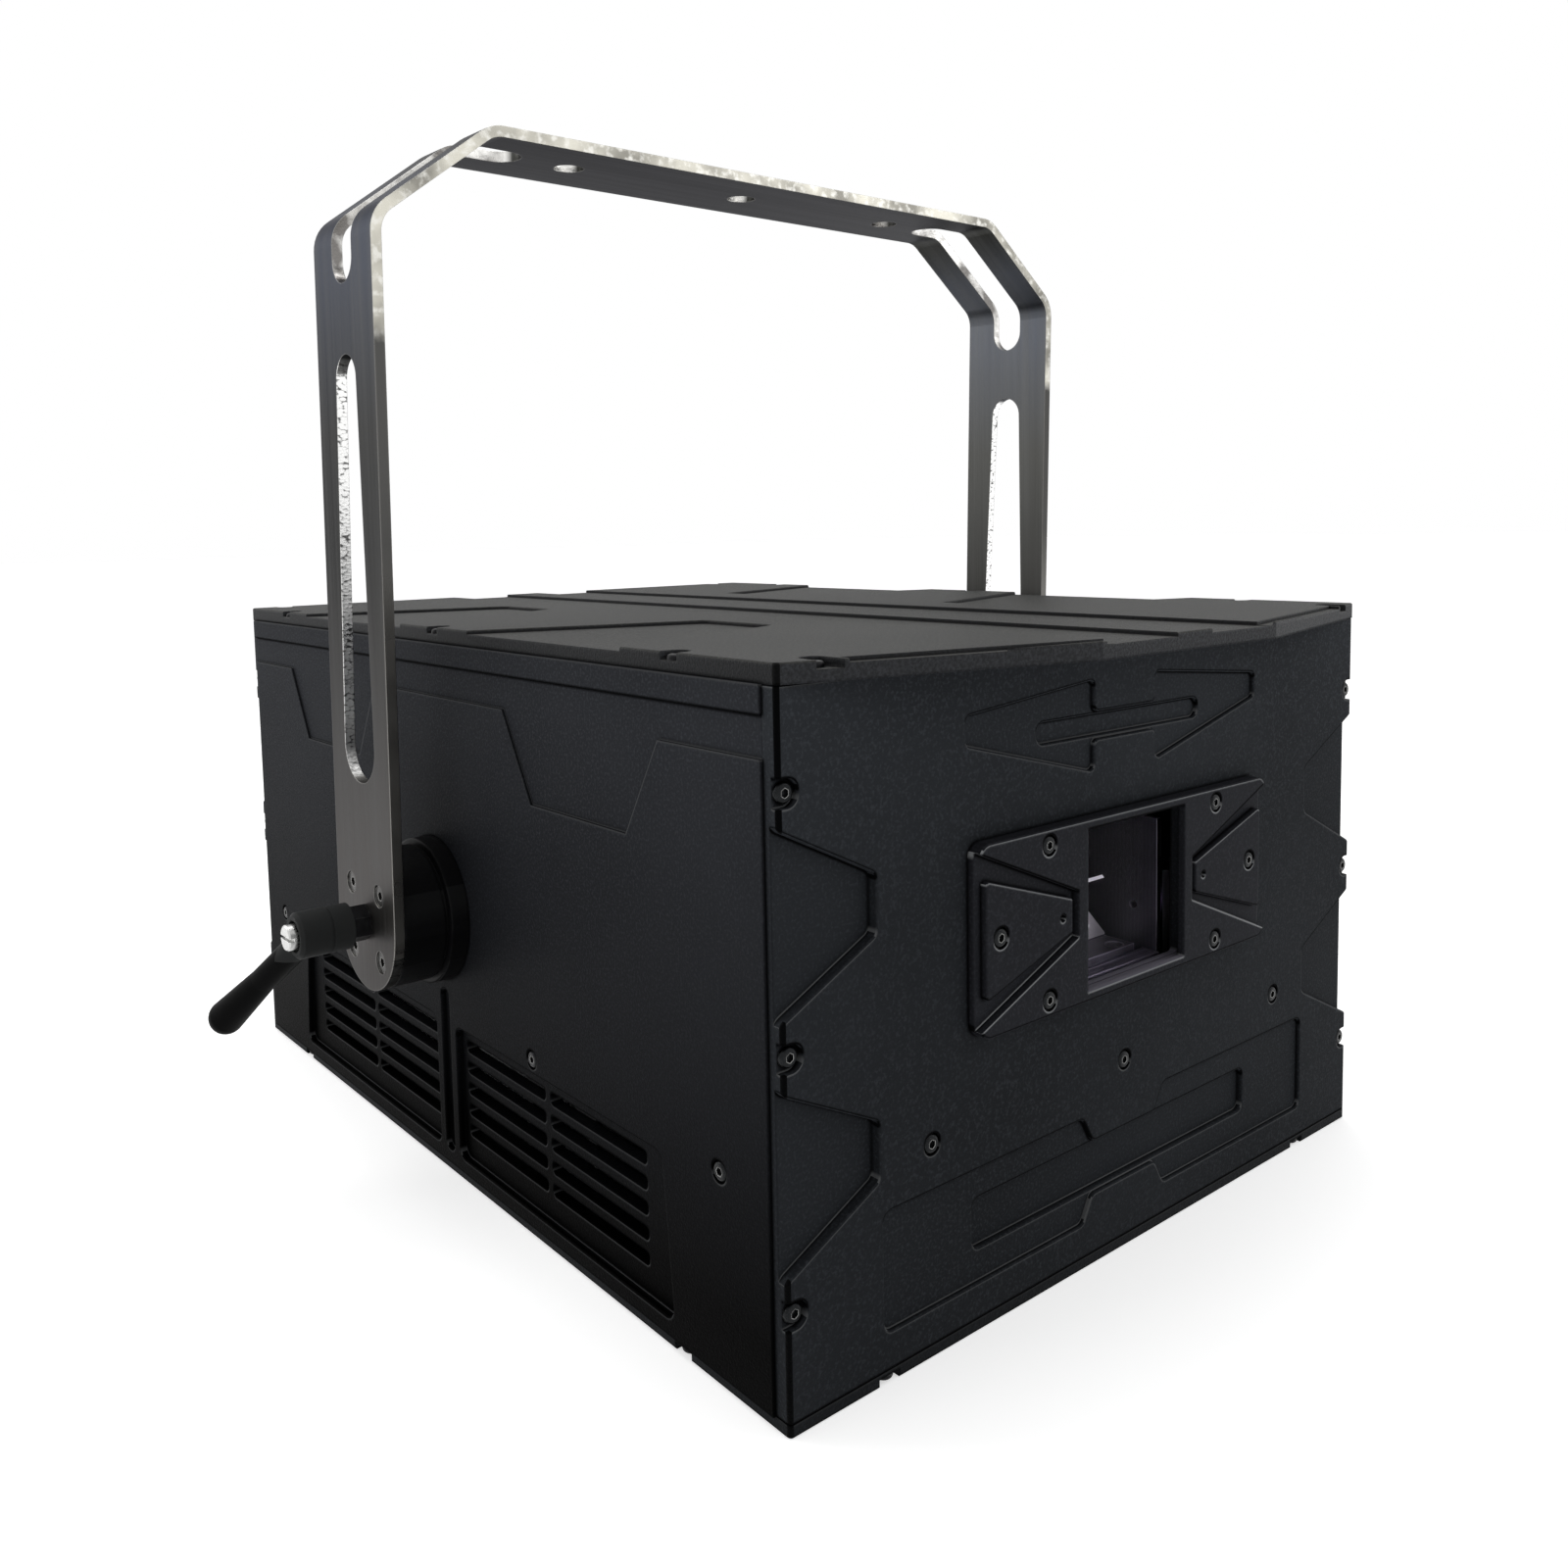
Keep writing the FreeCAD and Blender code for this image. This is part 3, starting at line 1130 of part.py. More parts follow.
# Clamp levers
def lever_insert(side):
    """Threaded insert: a hexagon end against the arm and a round end inside the handle."""
    grip = hexagon(INSERT_FLATS, "yz", PIVOT_Y, PIVOT_Z, INSERT_X, HANDLE_X)
    core = rod((HANDLE_X, PIVOT_Y, PIVOT_Z), OUT_RIGHT, INSERT_R, INSERT_LENGTH)
    deep = INSERT_TIP_X - INSERT_END - INSERT_X
    bore = rod((INSERT_X - 1, PIVOT_Y, PIVOT_Z), OUT_RIGHT, BOLT_R + FIT, deep + 1)
    tap = rod((INSERT_X, PIVOT_Y, PIVOT_Z), OUT_RIGHT, LEVER_SCREW_R, INSERT_TIP_X - INSERT_X + 1)
    return on_side(grip.fuse(core).cut([bore, tap]), side)


def clamp_handle(side):
    """Plastic handle: a hub over the insert and an arm that leans out to a rounded grip."""
    hub = rod((HANDLE_X, PIVOT_Y, PIVOT_Z), OUT_RIGHT, HANDLE_HUB_R, HANDLE_TOP_X - HANDLE_X)
    hub = broken_edges(hub, "x", HANDLE_TOP_X, HANDLE_END_BREAK)
    angle = math.radians(HANDLE_ANGLE)
    root = vec((HANDLE_X + HANDLE_SEAM + HANDLE_TOP_X) / 2, PIVOT_Y, PIVOT_Z)
    reach = HANDLE_LENGTH - HANDLE_TIP_R
    tip = root + vec(HANDLE_RISE, reach * math.cos(angle), reach * math.sin(angle))
    way = tip - root
    knee = root + way * (HANDLE_NECK_LENGTH / way.Length)
    neck = Part.makeCylinder(HANDLE_NECK_R, HANDLE_NECK_LENGTH, root, way)
    swell = Part.makeCone(HANDLE_NECK_R, HANDLE_TIP_R, way.Length - HANDLE_NECK_LENGTH, knee, way)
    grip = Part.makeSphere(HANDLE_TIP_R, tip)
    handle = hub.fuse([neck, swell, grip])
    seam_x = HANDLE_X + HANDLE_SEAM - HANDLE_SEAM_W / 2
    seam_r = HANDLE_HUB_R - HANDLE_SEAM_DEPTH
    seam = rod((seam_x, PIVOT_Y, PIVOT_Z), OUT_RIGHT, HANDLE_HUB_R + 1, HANDLE_SEAM_W)
    seam = seam.cut(rod((seam_x, PIVOT_Y, PIVOT_Z), OUT_RIGHT, seam_r, HANDLE_SEAM_W))
    cuts = [
        seam,
        rod((HANDLE_X - 1, PIVOT_Y, PIVOT_Z), OUT_RIGHT, INSERT_R, INSERT_LENGTH + 1),
        rod((HANDLE_X, PIVOT_Y, PIVOT_Z), OUT_RIGHT, LEVER_SCREW_R + HOLE_CLEAR, HANDLE_TOP_X - HANDLE_X),
        rod((HANDLE_SEAT_X, PIVOT_Y, PIVOT_Z), OUT_RIGHT, HANDLE_POCKET_R, HANDLE_TOP_X - HANDLE_X),
    ]
    return on_side(handle.cut(cuts), side)


def lever_screw(side):
    head = rod((HANDLE_SEAT_X, PIVOT_Y, PIVOT_Z), OUT_RIGHT, LEVER_SCREW_HEAD_R, LEVER_SCREW_HEAD)
    end_x = HANDLE_SEAT_X + LEVER_SCREW_HEAD
    head = broken_edges(head, "x", end_x)
    start = INSERT_TIP_X - INSERT_END
    shank = rod((start, PIVOT_Y, PIVOT_Z), OUT_RIGHT, LEVER_SCREW_R, HANDLE_SEAT_X - start)
    half = LEVER_SCREW_SLOT / 2
    slot = block(end_x - LEVER_SCREW_SLOT_DEPTH, end_x + 1, PIVOT_Y - HANDLE_HUB_R, PIVOT_Y + HANDLE_HUB_R,
                 PIVOT_Z - half, PIVOT_Z + half)
    return on_side(head.fuse(shank).cut(slot), side)


# Scanner: the lower mirror swings the beam left and right, the upper one swings it up and down
def galvo_places():
    """Front face and backward direction of each galvo motor."""
    return [((-GALVO_FACE, SCAN_Y, SCAN_Z), (-1, 0, 0)), ((0, SCAN_Y + GALVO_FACE, BEAM_Z), (0, 1, 0))]


def scan_baffle():
    """Wall beside the scanner with a beam hole, and the thin floor that joins it to the mount."""
    far_x = BAFFLE_X + BAFFLE_PLATE
    far_y = BAFFLE_Y + BAFFLE_LENGTH
    wall = block(BAFFLE_X, far_x, BAFFLE_Y, far_y, DECK_TOP, DECK_TOP + BAFFLE_H)
    floor = block(SCAN_MOUNT_RIGHT - 1, far_x, SCAN_MOUNT_FRONT, far_y, DECK_TOP, DECK_TOP + SCAN_FLOOR)
    hole = rod((BAFFLE_X - 1, SCAN_Y, BEAM_Z), OUT_RIGHT, BAFFLE_HOLE_R, BAFFLE_PLATE + 2)
    return wall.cut(hole).fuse(floor)


def scan_wedge():
    """Slanted stop on the foot behind the beam, for light that the lower mirror scatters."""
    left = SCAN_MOUNT_RIGHT - WEDGE_RUN
    points = [
        (SCAN_MOUNT_RIGHT, SCAN_MOUNT_TOP),
        (SCAN_MOUNT_RIGHT, SCAN_MOUNT_TOP + WEDGE_TIP_RISE),
        (left, SCAN_MOUNT_TOP + WEDGE_TOP_RISE),
        (left, SCAN_MOUNT_TOP),
    ]
    near = SCAN_MOUNT_FRONT + WEDGE_SETBACK
    return prism(points, "xz", near, near + WEDGE_PLATE)


def scanner_mount():
    wall = GALVO_R + GALVO_WALL
    foot = block(SCAN_MOUNT_LEFT, SCAN_MOUNT_RIGHT, SCAN_MOUNT_FRONT, SCAN_MOUNT_REAR,
                 DECK_TOP, SCAN_MOUNT_TOP)
    long = GALVO_LENGTH - GALVO_WALL
    upper = block(-GALVO_FACE - long, -GALVO_FACE - GALVO_WALL, SCAN_Y - wall, SCAN_Y + wall,
                  SCAN_MOUNT_TOP - GALVO_WALL, SCAN_Z + wall)
    lower = block(-wall, wall, SCAN_Y + GALVO_FACE + GALVO_WALL, SCAN_Y + GALVO_FACE + long,
                  SCAN_MOUNT_TOP, BEAM_Z + wall)
    cuts = [rod(start, way, GALVO_R, GALVO_LENGTH) for start, way in galvo_places()]
    hole_x = SCAN_MOUNT_RIGHT - SCAN_MOUNT_HOLE_X
    hole_y = SCAN_MOUNT_FRONT + SCAN_MOUNT_HOLE_Y
    cuts.append(rod((hole_x, hole_y, DECK_TOP + SCAN_FLOOR), OUT_UP, SCAN_MOUNT_HOLE_R, SCAN_MOUNT_H))
    return foot.fuse([upper, lower, scan_wedge(), scan_baffle()]).cut(cuts)


def galvo_motors():
    """Motor bodies with a blind bore in front for the shaft."""
    motors = []
    for start, way in galvo_places():
        body = rod(start, way, GALVO_R, GALVO_LENGTH)
        motors.append(body.cut(rod(start, way, SHAFT_R + FIT, SHAFT_GRIP + TIP_ROOM)))
    return Part.makeCompound(motors)


def scan_shaft(start, way):
    """Shaft from inside the motor to the mirror, with a slotted holder at its tip."""
    inside = [start[i] + way[i] * SHAFT_GRIP for i in range(3)]
    tip = [start[i] - way[i] * (SHAFT_REACH - SHAFT_TIP_R) for i in range(3)]
    ahead = [-w for w in way]
    shaft = rod(inside, ahead, SHAFT_R, SHAFT_GRIP + SHAFT_REACH - SHAFT_TIP_R)
    holder = rod(tip, ahead, SHAFT_TIP_R, 2 * SHAFT_TIP_R)
    return shaft.fuse(holder)


def vertical_scan_mirror():
    """Upper mirror: turns about X and sends the rising beam out through the window."""
    start = -GALVO_FACE + SHAFT_REACH
    half = VERTICAL_MIRROR_W / 2
    plate = block(start, start + VERTICAL_MIRROR_LENGTH, SCAN_Y, SCAN_Y + MIRROR_PLATE,
                  SCAN_Z - half, SCAN_Z + half)
    plate.rotate(vec(0, SCAN_Y, SCAN_Z), vec(1, 0, 0), 45)
    return plate


def horizontal_scan_mirror():
    """Lower mirror: turns about Y and sends the beam from the lasers upward."""
    start = SCAN_Y + GALVO_FACE - SHAFT_REACH
    half = HORIZONTAL_MIRROR_W / 2
    plate = block(-half, half, start - HORIZONTAL_MIRROR_LENGTH, start, BEAM_Z - MIRROR_PLATE, BEAM_Z)
    plate.rotate(vec(0, SCAN_Y, BEAM_Z), vec(0, 1, 0), 45)
    return plate


def slotted_shaft(index, mirror):
    """Shaft of one galvo motor, cut away where it holds its mirror."""
    start, way = galvo_places()[index]
    return scan_shaft(start, way).cut(mirror)


# Lasers, below each other in line with the scanner
def laser_spots():
    return [LASER_FIRST_X + LASER_PITCH * i for i in range(LASER_COUNT)]


def laser_modules():
    """Laser modules with cooling fins cut into their tops and a beam port in front."""
    modules = []
    for x in laser_spots():
        half = LASER_W / 2
        body = block(x - half, x + half, LASER_FRONT, LASER_FRONT + LASER_LENGTH, DECK_TOP, LASER_TOP)
        cuts = [rod((x, LASER_FRONT, BEAM_Z), OUT_REAR, LASER_PORT_R, LASER_PORT_DEPTH)]
        fins = int((LASER_W - LASER_FIN_W) / LASER_FIN_PITCH)
        first = x - LASER_FIN_PITCH * (fins - 1) / 2
        gap = (LASER_FIN_PITCH - LASER_FIN_W) / 2
        for fin in range(fins):
            middle = first + fin * LASER_FIN_PITCH
            cuts.append(block(middle - gap, middle + gap, LASER_FRONT + LASER_FIN_START,
                              LASER_FRONT + LASER_LENGTH + 1, LASER_TOP - LASER_FIN_DEPTH, LASER_TOP + 1))
        modules.append(body.cut(cuts))
    return Part.makeCompound(modules)


def turned_to_beam(shape, x):
    """Turn a dichroic piece, modelled square to Y, to the angle that folds the beam."""
    shape.rotate(vec(x, SCAN_Y, BEAM_Z), vec(0, 0, 1), 45)
    return shape


def dichroic_mounts():
    mounts = []
    for x in laser_spots():
        half = DICHROIC_MOUNT_W / 2
        plate = block(x - half, x + half, SCAN_Y - DICHROIC_MOUNT_PLATE, SCAN_Y, DECK_TOP, DICHROIC_MOUNT_TOP)
        plate = plate.cut(rod((x, SCAN_Y - DICHROIC_MOUNT_PLATE, BEAM_Z), OUT_REAR, DICHROIC_HOLE_R,
                              DICHROIC_MOUNT_PLATE))
        mounts.append(turned_to_beam(plate, x))
    return Part.makeCompound(mounts)


def dichroic_mirrors():
    discs = [turned_to_beam(rod((x, SCAN_Y, BEAM_Z), OUT_REAR, DICHROIC_R, DICHROIC_PLATE), x)
             for x in laser_spots()]
    return Part.makeCompound(discs)


# Power, control and fans
def power_supplies():
    half_w = SUPPLY_W / 2
    half_d = SUPPLY_D / 2
    boxes = []
    for half in HALVES:
        x = half * SUPPLY_X
        boxes.append(block(x - half_w, x + half_w, SUPPLY_Y - half_d, SUPPLY_Y + half_d,
                           BASE_PLATE, BASE_PLATE + SUPPLY_H))
    return Part.makeCompound(boxes)


def control_board():
    """Board behind the rear panel on four stand-offs, with two chips on its inner face."""
    outer = INNER_Y - BOARD_STAND
    inner = outer - BOARD_PLATE
    middle = (DISPLAY_Z + BUTTON_Z) / 2
    board = prism(rectangle(CONTROL_X, middle, BOARD_W / 2, BOARD_H / 2), "xz", inner, outer)
    extras = []
    for u in HALVES:
        for v in HALVES:
            x = CONTROL_X + u * (BOARD_W / 2 - BOARD_EDGE)
            z = middle + v * (BOARD_H / 2 - BOARD_EDGE)
            extras.append(rod((x, outer, z), OUT_REAR, BOARD_STAND_R, BOARD_STAND))
        chip = rectangle(CONTROL_X + u * CHIP_X, middle, CHIP_W / 2, CHIP_W / 2)
        extras.append(prism(chip, "xz", inner - CHIP_H, inner))
    return board.fuse(extras)


def fan_frame():
    """Right-hand fan frame against the side panel, with a spider that carries the axle inside."""
    half = FAN_SIZE / 2
    inner_x = INNER_X - FAN_DEPTH
    bore_r = half - FAN_WALL
    frame = block(inner_x, INNER_X, FAN_Y - half, FAN_Y + half, FAN_Z - half, FAN_Z + half)
    frame = frame.cut(rod((inner_x - 1, FAN_Y, FAN_Z), OUT_RIGHT, bore_r, FAN_DEPTH + 2))
    spider = [rod((inner_x, FAN_Y, FAN_Z), OUT_RIGHT, FAN_HUB_R, FAN_SPIDER)]
    arm = half - FAN_WALL / 2
    spider.append(block(inner_x, inner_x + FAN_SPIDER, FAN_Y - arm, FAN_Y + arm,
                        FAN_Z - FAN_STRUT / 2, FAN_Z + FAN_STRUT / 2))
    spider.append(block(inner_x, inner_x + FAN_SPIDER, FAN_Y - FAN_STRUT / 2, FAN_Y + FAN_STRUT / 2,
                        FAN_Z - arm, FAN_Z + arm))
    spider.append(rod((inner_x, FAN_Y, FAN_Z), OUT_RIGHT, FAN_AXLE_R, FAN_SPIDER + RUN_GAP + FAN_AXLE_GRIP))
    return frame.fuse(spider)


def fan_on_side(shape, side):
    """The right fan is at the rear, the left one is its half turn at the front."""
    copy = shape.copy()
    if side < 0:
        copy.rotate(vec(0, 0, 0), vec(0, 0, 1), 180)
    return copy


def fan_frames():
    frame = fan_frame()
    return Part.makeCompound([fan_on_side(frame, side) for side in HALVES])


def fan_rotor(side):
    start = INNER_X - FAN_DEPTH + FAN_SPIDER + RUN_GAP
    hub = rod((start, FAN_Y, FAN_Z), OUT_RIGHT, FAN_HUB_R, FAN_HUB_DEPTH)
    span = FAN_SIZE / 2 - FAN_WALL - FAN_BLADE_GAP
    middle = start + FAN_HUB_DEPTH / 2
    blades = []
    for i in range(FAN_BLADES):
        blade = block(middle - FAN_BLADE_W / 2, middle + FAN_BLADE_W / 2, FAN_Y - FAN_BLADE_PLATE / 2,
                      FAN_Y + FAN_BLADE_PLATE / 2, FAN_Z, FAN_Z + span + FAN_BLADE_GAP)
        blade.rotate(vec(middle, FAN_Y, FAN_Z), vec(0, 0, 1), FAN_BLADE_PITCH)
        blade.rotate(vec(middle, FAN_Y, FAN_Z), vec(1, 0, 0), 360.0 * i / FAN_BLADES)
        blades.append(blade)
    swept = rod((start, FAN_Y, FAN_Z), OUT_RIGHT, span, FAN_HUB_DEPTH)
    rotor = hub.fuse(blades).common(swept)
    bore = rod((start - 1, FAN_Y, FAN_Z), OUT_RIGHT, FAN_AXLE_R + FIT, FAN_AXLE_GRIP + TIP_ROOM + 1)
    return fan_on_side(rotor.cut(bore), side)


# Rear panel fittings
def mains_inlet():
    outer = HALF_D + INLET_FLANGE
    flange = prism(rectangle(SERVICE_X, LOW_ROOM_Z, INLET_W / 2, INLET_H / 2), "xz", HALF_D, outer,
                   INLET_FLANGE)
    body = prism(rectangle(SERVICE_X, LOW_ROOM_Z, INLET_BODY_W / 2, INLET_BODY_H / 2), "xz",
                 outer - INLET_MOUTH_DEPTH - INLET_FLOOR, HALF_D)
    floor = outer - INLET_MOUTH_DEPTH
    mouth = prism(rectangle(SERVICE_X, LOW_ROOM_Z, INLET_MOUTH_W / 2, INLET_MOUTH_H / 2), "xz",
                  floor, outer + 1, INLET_FLANGE)
    pins = []
    for u, v in ((-INLET_PIN_X, -INLET_PIN_Z), (0, INLET_PIN_Z), (INLET_PIN_X, -INLET_PIN_Z)):
        pin = rectangle(SERVICE_X + u, LOW_ROOM_Z + v, INLET_PIN_H / 2, INLET_PIN_W / 2)
        pins.append(prism(pin, "xz", floor - 1, floor + INLET_PIN_REACH))
    return flange.fuse(body).cut(mouth).fuse(pins)


def switch_frame():
    outer = HALF_D + SWITCH_RIM
    rim = prism(rectangle(SERVICE_X, SWITCH_Z, SWITCH_W / 2, SWITCH_H / 2), "xz", HALF_D, outer)
    half_w = SWITCH_W / 2 - SWITCH_RIM
    half_h = SWITCH_H / 2 - SWITCH_RIM
    body = prism(rectangle(SERVICE_X, SWITCH_Z, half_w, half_h), "xz", outer - SWITCH_DEPTH, HALF_D)
    hollow = prism(rectangle(SERVICE_X, SWITCH_Z, half_w - SWITCH_WALL, half_h - SWITCH_WALL), "xz",
                   outer - SWITCH_DEPTH + SWITCH_WALL, outer + 1)
    pin = rod((SERVICE_X - half_w + SWITCH_WALL / 2, HALF_D, SWITCH_Z), OUT_RIGHT, ROCKER_PIN_R,
              2 * half_w - SWITCH_WALL)
    return rim.fuse(body).cut(hollow).fuse(pin)


def switch_rocker():
    """Rocker with a shallow V across its face, pressed to its off side, on the frame's pin."""
    half_w = SWITCH_W / 2 - SWITCH_RIM - SWITCH_WALL - RUN_GAP
    half_h = SWITCH_H / 2 - SWITCH_RIM - SWITCH_WALL - ROCKER_CLEAR
    fall = half_h * math.tan(math.radians(ROCKER_TILT))
    face = HALF_D + SWITCH_RIM + ROCKER_RISE
    back = HALF_D - ROCKER_DEPTH / 2
    points = [
        (back, SWITCH_Z - half_h / 2),
        (HALF_D, SWITCH_Z - half_h),
        (face, SWITCH_Z - half_h),
        (face - fall, SWITCH_Z),
        (face, SWITCH_Z + half_h),
        (HALF_D, SWITCH_Z + half_h),
        (back, SWITCH_Z + half_h / 2),
    ]
    rocker = prism(points, "yz", SERVICE_X - half_w, SERVICE_X + half_w)
    bore = rod((SERVICE_X - SWITCH_W, HALF_D, SWITCH_Z), OUT_RIGHT, ROCKER_PIN_R + FIT, 2 * SWITCH_W)
    rocker = rocker.cut(bore)
    rocker.rotate(vec(SERVICE_X, HALF_D, SWITCH_Z), vec(1, 0, 0), ROCKER_TILT)
    return rocker


def key_barrel():
    flange = rod((SERVICE_X, HALF_D, KEY_Z), OUT_REAR, KEY_FLANGE_R, KEY_FLANGE)
    flange = broken_edges(flange, "y", HALF_D + KEY_FLANGE)
    barrel = rod((SERVICE_X, HALF_D, KEY_Z), OUT_FRONT, KEY_BARREL_R, KEY_BARREL_DEPTH)
    bore = rod((SERVICE_X, HALF_D + KEY_FLANGE + 1, KEY_Z), OUT_FRONT, KEY_ROTOR_R + FIT,
               KEY_ROTOR_DEPTH + RUN_GAP + 1)
    return flange.fuse(barrel).cut(bore)


def key():
    """Lock rotor with its key in place: a stem and a flat bow with a ring hole."""
    face = HALF_D + KEY_FLANGE
    rotor = rod((SERVICE_X, face, KEY_Z), OUT_FRONT, KEY_ROTOR_R, KEY_ROTOR_DEPTH)
    half = KEY_BOW_PLATE / 2
    stem = block(SERVICE_X - half, SERVICE_X + half, face, face + KEY_STEM,
                 KEY_Z - KEY_STEM_W / 2, KEY_Z + KEY_STEM_W / 2)
    middle = face + KEY_STEM + KEY_BOW_LENGTH / 2
    bow = prism(rectangle(middle, KEY_Z, KEY_BOW_LENGTH / 2, KEY_BOW_W / 2), "yz", SERVICE_X - half,
                SERVICE_X + half, KEY_BOW_CORNER)
    ring_y = face + KEY_STEM + KEY_BOW_LENGTH - KEY_RING_RIM - KEY_RING_R
    ring = rod((SERVICE_X - KEY_BOW_W, ring_y, KEY_Z), OUT_RIGHT, KEY_RING_R, 2 * KEY_BOW_W)
    return rotor.fuse([stem, bow]).cut(ring)


def data_sockets():
    """Round data sockets with three pins, in square flanges."""
    sockets = []
    outer = HALF_D + DATA_FLANGE
    for x in DATA_SPOTS:
        flange = prism(rectangle(x, LOW_ROOM_Z, DATA_W / 2, DATA_H / 2), "xz", HALF_D, outer, DATA_FLANGE)
        body = rod((x, HALF_D, LOW_ROOM_Z), OUT_FRONT, DATA_R, DATA_DEPTH)
        bore = rod((x, outer + 1, LOW_ROOM_Z), OUT_FRONT, DATA_BORE_R, DATA_BORE_DEPTH + 1)
        floor = outer - DATA_BORE_DEPTH
        pins = []
        for i in range(DATA_PINS):
            angle = math.radians(90 + 360 * i / DATA_PINS)
            pin_x = x + DATA_PIN_RING * math.cos(angle)
            pin_z = LOW_ROOM_Z + DATA_PIN_RING * math.sin(angle)
            pins.append(rod((pin_x, floor - 1, pin_z), OUT_REAR, DATA_PIN_R, DATA_PIN_REACH + 1))
        sockets.append(flange.fuse(body).cut(bore).fuse(pins))
    return Part.makeCompound(sockets)


def show_sockets():
    """Wide many-pin sockets: a flange, a shell that stands out and a body behind."""
    sockets = []
    outer = HALF_D + SHOW_FLANGE
    for z in SHOW_SPOTS:
        flange = prism(rectangle(SHOW_X, z, SHOW_W / 2, SHOW_H / 2), "xz", HALF_D, outer, SHOW_FLANGE)
        half_w = SHOW_SHELL_W / 2
        half_h = SHOW_SHELL_H / 2
        shell = prism(rectangle(SHOW_X, z, half_w, half_h), "xz", outer, outer + SHOW_SHELL, SHOW_FLANGE)
        inside = rectangle(SHOW_X, z, half_w - SHOW_WALL, half_h - SHOW_WALL)
        hollow = prism(inside, "xz", outer, outer + SHOW_SHELL + 1)
        core = prism(rectangle(SHOW_X, z, half_w - 2 * SHOW_WALL, half_h - 2 * SHOW_WALL), "xz", outer,
                     outer + SHOW_SHELL - SHOW_WALL)
        body = prism(rectangle(SHOW_X, z, half_w, half_h), "xz", HALF_D - SHOW_BODY, HALF_D)
        sockets.append(flange.fuse([shell.cut(hollow), core, body]))
    return Part.makeCompound(sockets)


def network_socket():
    outer = HALF_D + NETWORK_FLANGE
    flange = prism(rectangle(NETWORK_X, LOW_ROOM_Z, NETWORK_W / 2, NETWORK_H / 2), "xz", HALF_D, outer,
                   NETWORK_FLANGE)
    body = prism(rectangle(NETWORK_X, LOW_ROOM_Z, NETWORK_BODY_W / 2, NETWORK_BODY_H / 2), "xz",
                 HALF_D - NETWORK_DEPTH, HALF_D)
    mouth = prism(rectangle(NETWORK_X, LOW_ROOM_Z, NETWORK_MOUTH_W / 2, NETWORK_MOUTH_H / 2), "xz",
                  outer - NETWORK_MOUTH_DEPTH, outer + 1)
    return flange.fuse(body).cut(mouth)


def display_glass():
    pane = rectangle(CONTROL_X, DISPLAY_Z, DISPLAY_W / 2, DISPLAY_H / 2)
    return prism(pane, "xz", HALF_D - DISPLAY_PLATE, HALF_D)


def button_spots():
    first = CONTROL_X - BUTTON_PITCH * (BUTTON_COUNT - 1) / 2
    return [first + BUTTON_PITCH * i for i in range(BUTTON_COUNT)]


def menu_button(x):
    """Push button with a collar behind the panel that keeps it in."""
    seat = INNER_Y - RUN_GAP
    stem = rod((x, seat, BUTTON_Z), OUT_REAR, BUTTON_R, END_PLATE + RUN_GAP + BUTTON_PROUD)
    stem = broken_edges(stem, "y", HALF_D + BUTTON_PROUD)
    collar = rod((x, seat, BUTTON_Z), OUT_FRONT, BUTTON_COLLAR_R, BUTTON_COLLAR)
    return stem.fuse(collar)


def safety_eye():
    """Ring for a safety wire, screwed into the rear panel."""
    base = rod((0, HALF_D, EYE_Z), OUT_REAR, EYE_BASE_R, EYE_BASE)
    base = broken_edges(base, "y", HALF_D + EYE_BASE)
    shank = rod((0, INNER_Y, EYE_Z), OUT_REAR, EYE_SHANK_R, END_PLATE)
    centre = HALF_D + EYE_BASE + EYE_RING_R
    ring = Part.makeTorus(EYE_RING_R, EYE_WIRE_R, vec(0, centre, EYE_Z), vec(1, 0, 0))
    return base.fuse([shank, ring.cut(block(-HALF_W, HALF_W, 0, HALF_D, 0, CASE_H))])


os.makedirs("parts", exist_ok=True)
save("base_plate", base_plate())
save("top_cover", top_cover())
save("front_panel", front_panel())
save("rear_panel", rear_panel())
save("optical_deck", optical_deck())
save("aperture_frame", aperture_frame())
save("window_glass", window_glass())
save("window_seal", window_seal())
save("front_panel_screws", screws(FRONT_PLACES))
save("rear_panel_screws", screws(REAR_PLACES))
save("side_panel_screws", screws(SIDE_PLACES[-1] + SIDE_PLACES[1]))
save("cover_screws", screws(COVER_PLACES))
save("base_screws", screws(BASE_PLACES))
save("aperture_screws", screws(APERTURE_PLACES, SHORT_SCREW_LENGTH))
save("flange_screws", screws(flange_places(-1) + flange_places(1)))
save("yoke", yoke())
save("yoke_hub_screws", yoke_hub_screws())
save("pivot_bolts", pivot_bolts())
for side, word in ((-1, "left"), (1, "right")):
    save(word + "_side_panel", side_panel(side))
    save(word + "_wing_plate", wing_plate(side))
    save(word + "_yoke_hub", yoke_hub(side))
    save(word + "_hub_flange", hub_flange(side))
    save(word + "_lever_insert", lever_insert(side))
    save(word + "_clamp_handle", clamp_handle(side))
    save(word + "_lever_screw", lever_screw(side))
    save(word + "_fan_rotor", fan_rotor(side))
save("scanner_mount", scanner_mount())
save("galvo_motors", galvo_motors())
save("vertical_scan_mirror", vertical_scan_mirror())
save("vertical_scan_shaft", slotted_shaft(0, vertical_scan_mirror()))
save("horizontal_scan_mirror", horizontal_scan_mirror())
save("horizontal_scan_shaft", slotted_shaft(1, horizontal_scan_mirror()))
save("laser_modules", laser_modules())
save("dichroic_mounts", dichroic_mounts())
save("dichroic_mirrors", dichroic_mirrors())
save("power_supplies", power_supplies())
save("control_board", control_board())
save("fan_frames", fan_frames())
save("mains_inlet", mains_inlet())
save("switch_frame", switch_frame())
save("switch_rocker", switch_rocker())
save("key_barrel", key_barrel())
save("key", key())
save("data_sockets", data_sockets())
save("show_sockets", show_sockets())
save("network_socket", network_socket())
